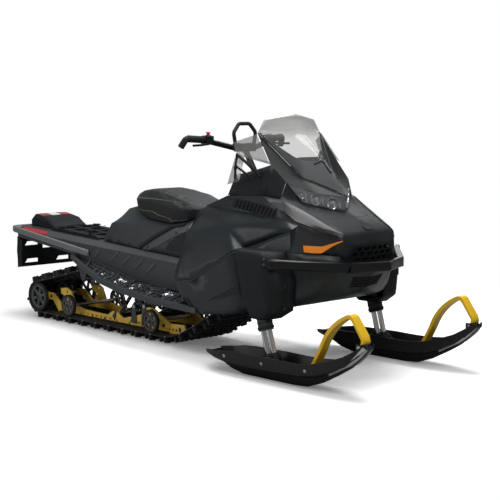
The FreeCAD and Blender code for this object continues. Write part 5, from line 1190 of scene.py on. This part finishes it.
def bar_fittings(grips, rods, m, at):
    """Grip rings, control block and the lines along the bar, and the cap of its clamp."""
    a, b = at(286, -252, 1134), at(264, -340, 1140)
    way = (b - a).normalized()
    for k in range(13):
        turned(grips, a.lerp(b, k / 12), way, doubled([(0.0165, -0.0022), (0.0188, -0.0012)]), ring=True)
    # two lines that lie against the bar from the control block to the clamp
    bar = m((286.5, -232, 1132), (322, -120, 1104), (330, -60, 1090), (330, -46, 1090))
    pipe(rods, mm([(x + 16.6, y, z) for x, y, z in bar]), 0.0055, 8)
    pipe(rods, mm([(x, y, z - 14.8) for x, y, z in bar]), 0.004, 8)
    turned(rods, at(290, -222, 1138), way, doubled([(0, -0.013), (0.020, -0.013), (0.0225, -0.010)]), 24)
    for ends in (((262, -228, 1126), (290, -200, 1154)), ((270, -246, 1110), (306, -204, 1134)),
                 ((262, -238, 1126), (296, -212, 1156))):
        box_piece(rods, *m(*ends))
    box_piece(rods, *m((300, -60, 1098), (340, -20, 1112)))
    for x in (312, 332):
        bolt(rods, at(x, -42, 1111), (0, 0, 1), 0.006, 0.004)


def deflector_brackets(struts, m, at, side):
    for radius, *line in (
            (0.006, (596, -303, 1070), (582, -303, 1010), (574, -300, 945)),
            (0.0075, (600, -303, 1062), (655, -298, 1028), (690, -278, 990), (716, -262, 960)),
            (0.006, (586, -302, 1010), (640, -292, 975), (668, -272, 944))):
        pipe(struts, curved(m(*line)), radius)
    for x, z in ((598, 1062), (584, 1000)):
        bolt(struts, at(x, -307, z), (0, side, 0), 0.009, 0.003)


def front_details():
    for side, where in ((-1, "right"), (1, "left")):
        ski_details(side, where)
        leg_rings(side, where)
    grips, rods, red, struts = (bmesh.new() for _ in range(4))
    for side in (-1, 1):
        m, at = sided(side)
        bar_fittings(grips, rods, m, at)
        deflector_brackets(struts, m, at, side)
    button = [(0, 0.016), (0.009, 0.016), (0.0115, 0.013), (0.0115, 0.008), (0.007, 0.006), (0.006, -0.006),
              (0, -0.006)]
    turned(red, mm([(292, -226, 1158)])[0], (0.1, 0, 1), button)
    # dark fillers under the console's edges
    for side in (-1, 1):
        box_piece(struts, (500, side * 264, 836), (822, side * 268, 884))
    finish_piece("grip_rings", grips, "grip", body="handlebar")
    finish_piece("handlebar_fittings", rods, "bar", body="handlebar")
    finish_piece("deflector_brackets", struts, "body_rough")
    finish_piece("stop_button", red, "red", body="handlebar")


front_details()


# seat cushion

SHRINK, MOST, FRAMES = 0.988, 0.004, 20     # size before it swells, its furthest move and the cloth's run


def make_cushion():
    """Padded cushion: a cloth under light pressure that stays within MOST of where it starts."""
    bm = welded("seat_cushion")
    centre = sum((v.co for v in bm.verts), Vector()) / len(bm.verts)
    for v in bm.verts:
        v.co = centre + (v.co - centre) * SHRINK
    obj = from_bmesh("seat_cushion_cover", bm, "seat")
    modified(obj, "REMESH", mode="VOXEL", voxel_size=0.006)
    baked(obj, 180)
    start = [v.co.copy() for v in obj.data.vertices]
    cloth = modified(obj, "CLOTH")
    for name, value in {"quality": 5, "mass": 0.3, "tension_stiffness": 30, "compression_stiffness": 30,
                        "bending_stiffness": 25, "use_pressure": True, "uniform_pressure_force": 4}.items():
        setattr(cloth.settings, name, value)
    cloth.settings.effector_weights.gravity = 0
    cloth.collision_settings.use_collision = False
    scene = bpy.context.scene
    for number in range(1, FRAMES + 1):
        scene.frame_set(number)
    baked(obj, 180)
    scene.frame_set(1)
    low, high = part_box("seat_cushion")
    for v, begin in zip(obj.data.vertices, start):
        move = v.co - begin
        if move.length > MOST:
            move *= MOST / move.length
        p = begin + move
        v.co = [min(max(p[i], low[i] - 0.001), high[i] + MOST) for i in range(3)]
    modified(obj, "SMOOTH", factor=0.5, iterations=6)
    baked(obj, 180)
    modified(obj, "SUBSURF", levels=1, render_levels=1)
    stand_in(baked(obj, 180), "seat_cushion")
    return obj


def seat_seams(cushion):
    skin, welts = skin_of(cushion), bmesh.new()
    for side in (-1, 1):
        m, _ = sided(side)
        for line in (((-478, -84, 775), (-423, -120, 793), (-283, -147, 798), (-144, -154, 794),
                      (-31, -143, 788), (56, -111, 770), (90, -84, 752)),
                     ((-455, -110, 715), (-400, -140, 708), (-283, -160, 712), (-100, -160, 700),
                      (40, -130, 700))):
            strip(welts, skin, m(*line), 0.0021, 0.0014, 0.5, step=0.006)
    finish_piece("seat_seams", welts, "welt", 60)


seat_seams(make_cushion())


# light, floor and camera

def straight_view(tree):
    """1 for rays from the camera and those that go on through a sheet, and 0 for all others."""
    path = tree.nodes.new("ShaderNodeLightPath").outputs
    rays = {0: path["Is Camera Ray"], 1: path["Is Transmission Ray"]}
    return add(tree, "Math", "Value", rays, operation="MAXIMUM")


def studio():
    """Dim plain surroundings that look white behind the machine."""
    world = bpy.data.worlds.new("studio")
    bpy.context.scene.world = world
    world.use_nodes = True
    tree = world.node_tree
    plain = tree.nodes["Background"]
    feed(tree, plain, {"Color": opaque((1, 1, 1)), "Strength": 0.19})
    white = add(tree, "Background", "Background", {"Color": opaque((1, 1, 1)), "Strength": 1.0})
    mix = add(tree, "MixShader", "Shader", {0: straight_view(tree), 1: plain.outputs[0], 2: white})
    feed(tree, tree.nodes["World Output"], {"Surface": mix})


def area_light(name, place, aim, power, size, size_y=None):
    data = bpy.data.lights.new(name, "AREA")
    data.energy, data.size = power, size
    if size_y:
        data.shape, data.size_y = "RECTANGLE", size_y
    lamp = link(bpy.data.objects.new(name, data))
    lamp.location = place
    lamp.rotation_euler = (Vector(aim) - Vector(place)).to_track_quat("-Z", "Y").to_euler()


def floor():
    """Pale floor: white towards the edges, and a soft shadow under the machine."""
    bm = bmesh.new()
    bmesh.ops.create_grid(bm, x_segments=8, y_segments=8, size=16)
    plane = from_bmesh("floor", bm)
    m, tree, _ = surface("pale_floor")
    place = add(tree, "TexCoord", "Object")
    away = add(tree, "VectorMath", "Value", {0: place}, operation="LENGTH")
    fade = add(tree, "MapRange", "Result", {"From Min": 1.2, "From Max": 3.4, "To Min": 0.12, "Value": away},
               interpolation_type="SMOOTHSTEP")
    seen = straight_view(tree)
    tint = blend(tree, seen, opaque((0.38, 0.38, 0.38)), opaque((1.4, 1.4, 1.4)))
    matt = add(tree, "BsdfDiffuse", "BSDF", {"Color": tint})
    share = add(tree, "Math", "Value", {0: seen, 1: fade}, operation="MULTIPLY")
    mix = add(tree, "MixShader", "Shader", {0: share, 1: matt, 2: add(tree, "Emission", "Emission")})
    feed(tree, tree.nodes["Material Output"], {"Surface": mix})
    plane.data.materials.append(m)


studio()
floor()
area_light("overhead", (0.2, 0.4, 4.2), (0.1, 0, 0.4), 185, 3.6, 2.4)
area_light("key", (3.4, -2.6, 3.6), (0.3, 0, 0.6), 66, 1.6, 2.2)
area_light("side", (-2.6, -4.4, 2.0), (-0.5, 0, 0.5), 11, 1.8, 1.4)
area_light("rim", (-2.2, 4.2, 2.6), (0, 0, 0.6), 32, 2.4)
area_light("low", (-1.9, -3.4, 1.0), (-0.75, 0, 0.15), 13, 1.2, 0.8)

AZIMUTH, ELEVATION, DISTANCE = math.radians(46.1), math.radians(6.4), 6.5
TARGET = Vector((0.3706, 0, 0.548))
lens = bpy.data.cameras.new("camera")
lens.sensor_width, lens.lens, lens.clip_end = 36, 88.06, 60
camera = link(bpy.data.objects.new("camera", lens))
away = Vector((math.sin(AZIMUTH) * math.cos(ELEVATION), -math.cos(AZIMUTH) * math.cos(ELEVATION),
               math.sin(ELEVATION)))
camera.location = TARGET + away * DISTANCE
camera.rotation_euler = (-away).to_track_quat("-Z", "Y").to_euler()
scene = bpy.context.scene
scene.camera = camera
scene.view_settings.view_transform = "Standard"
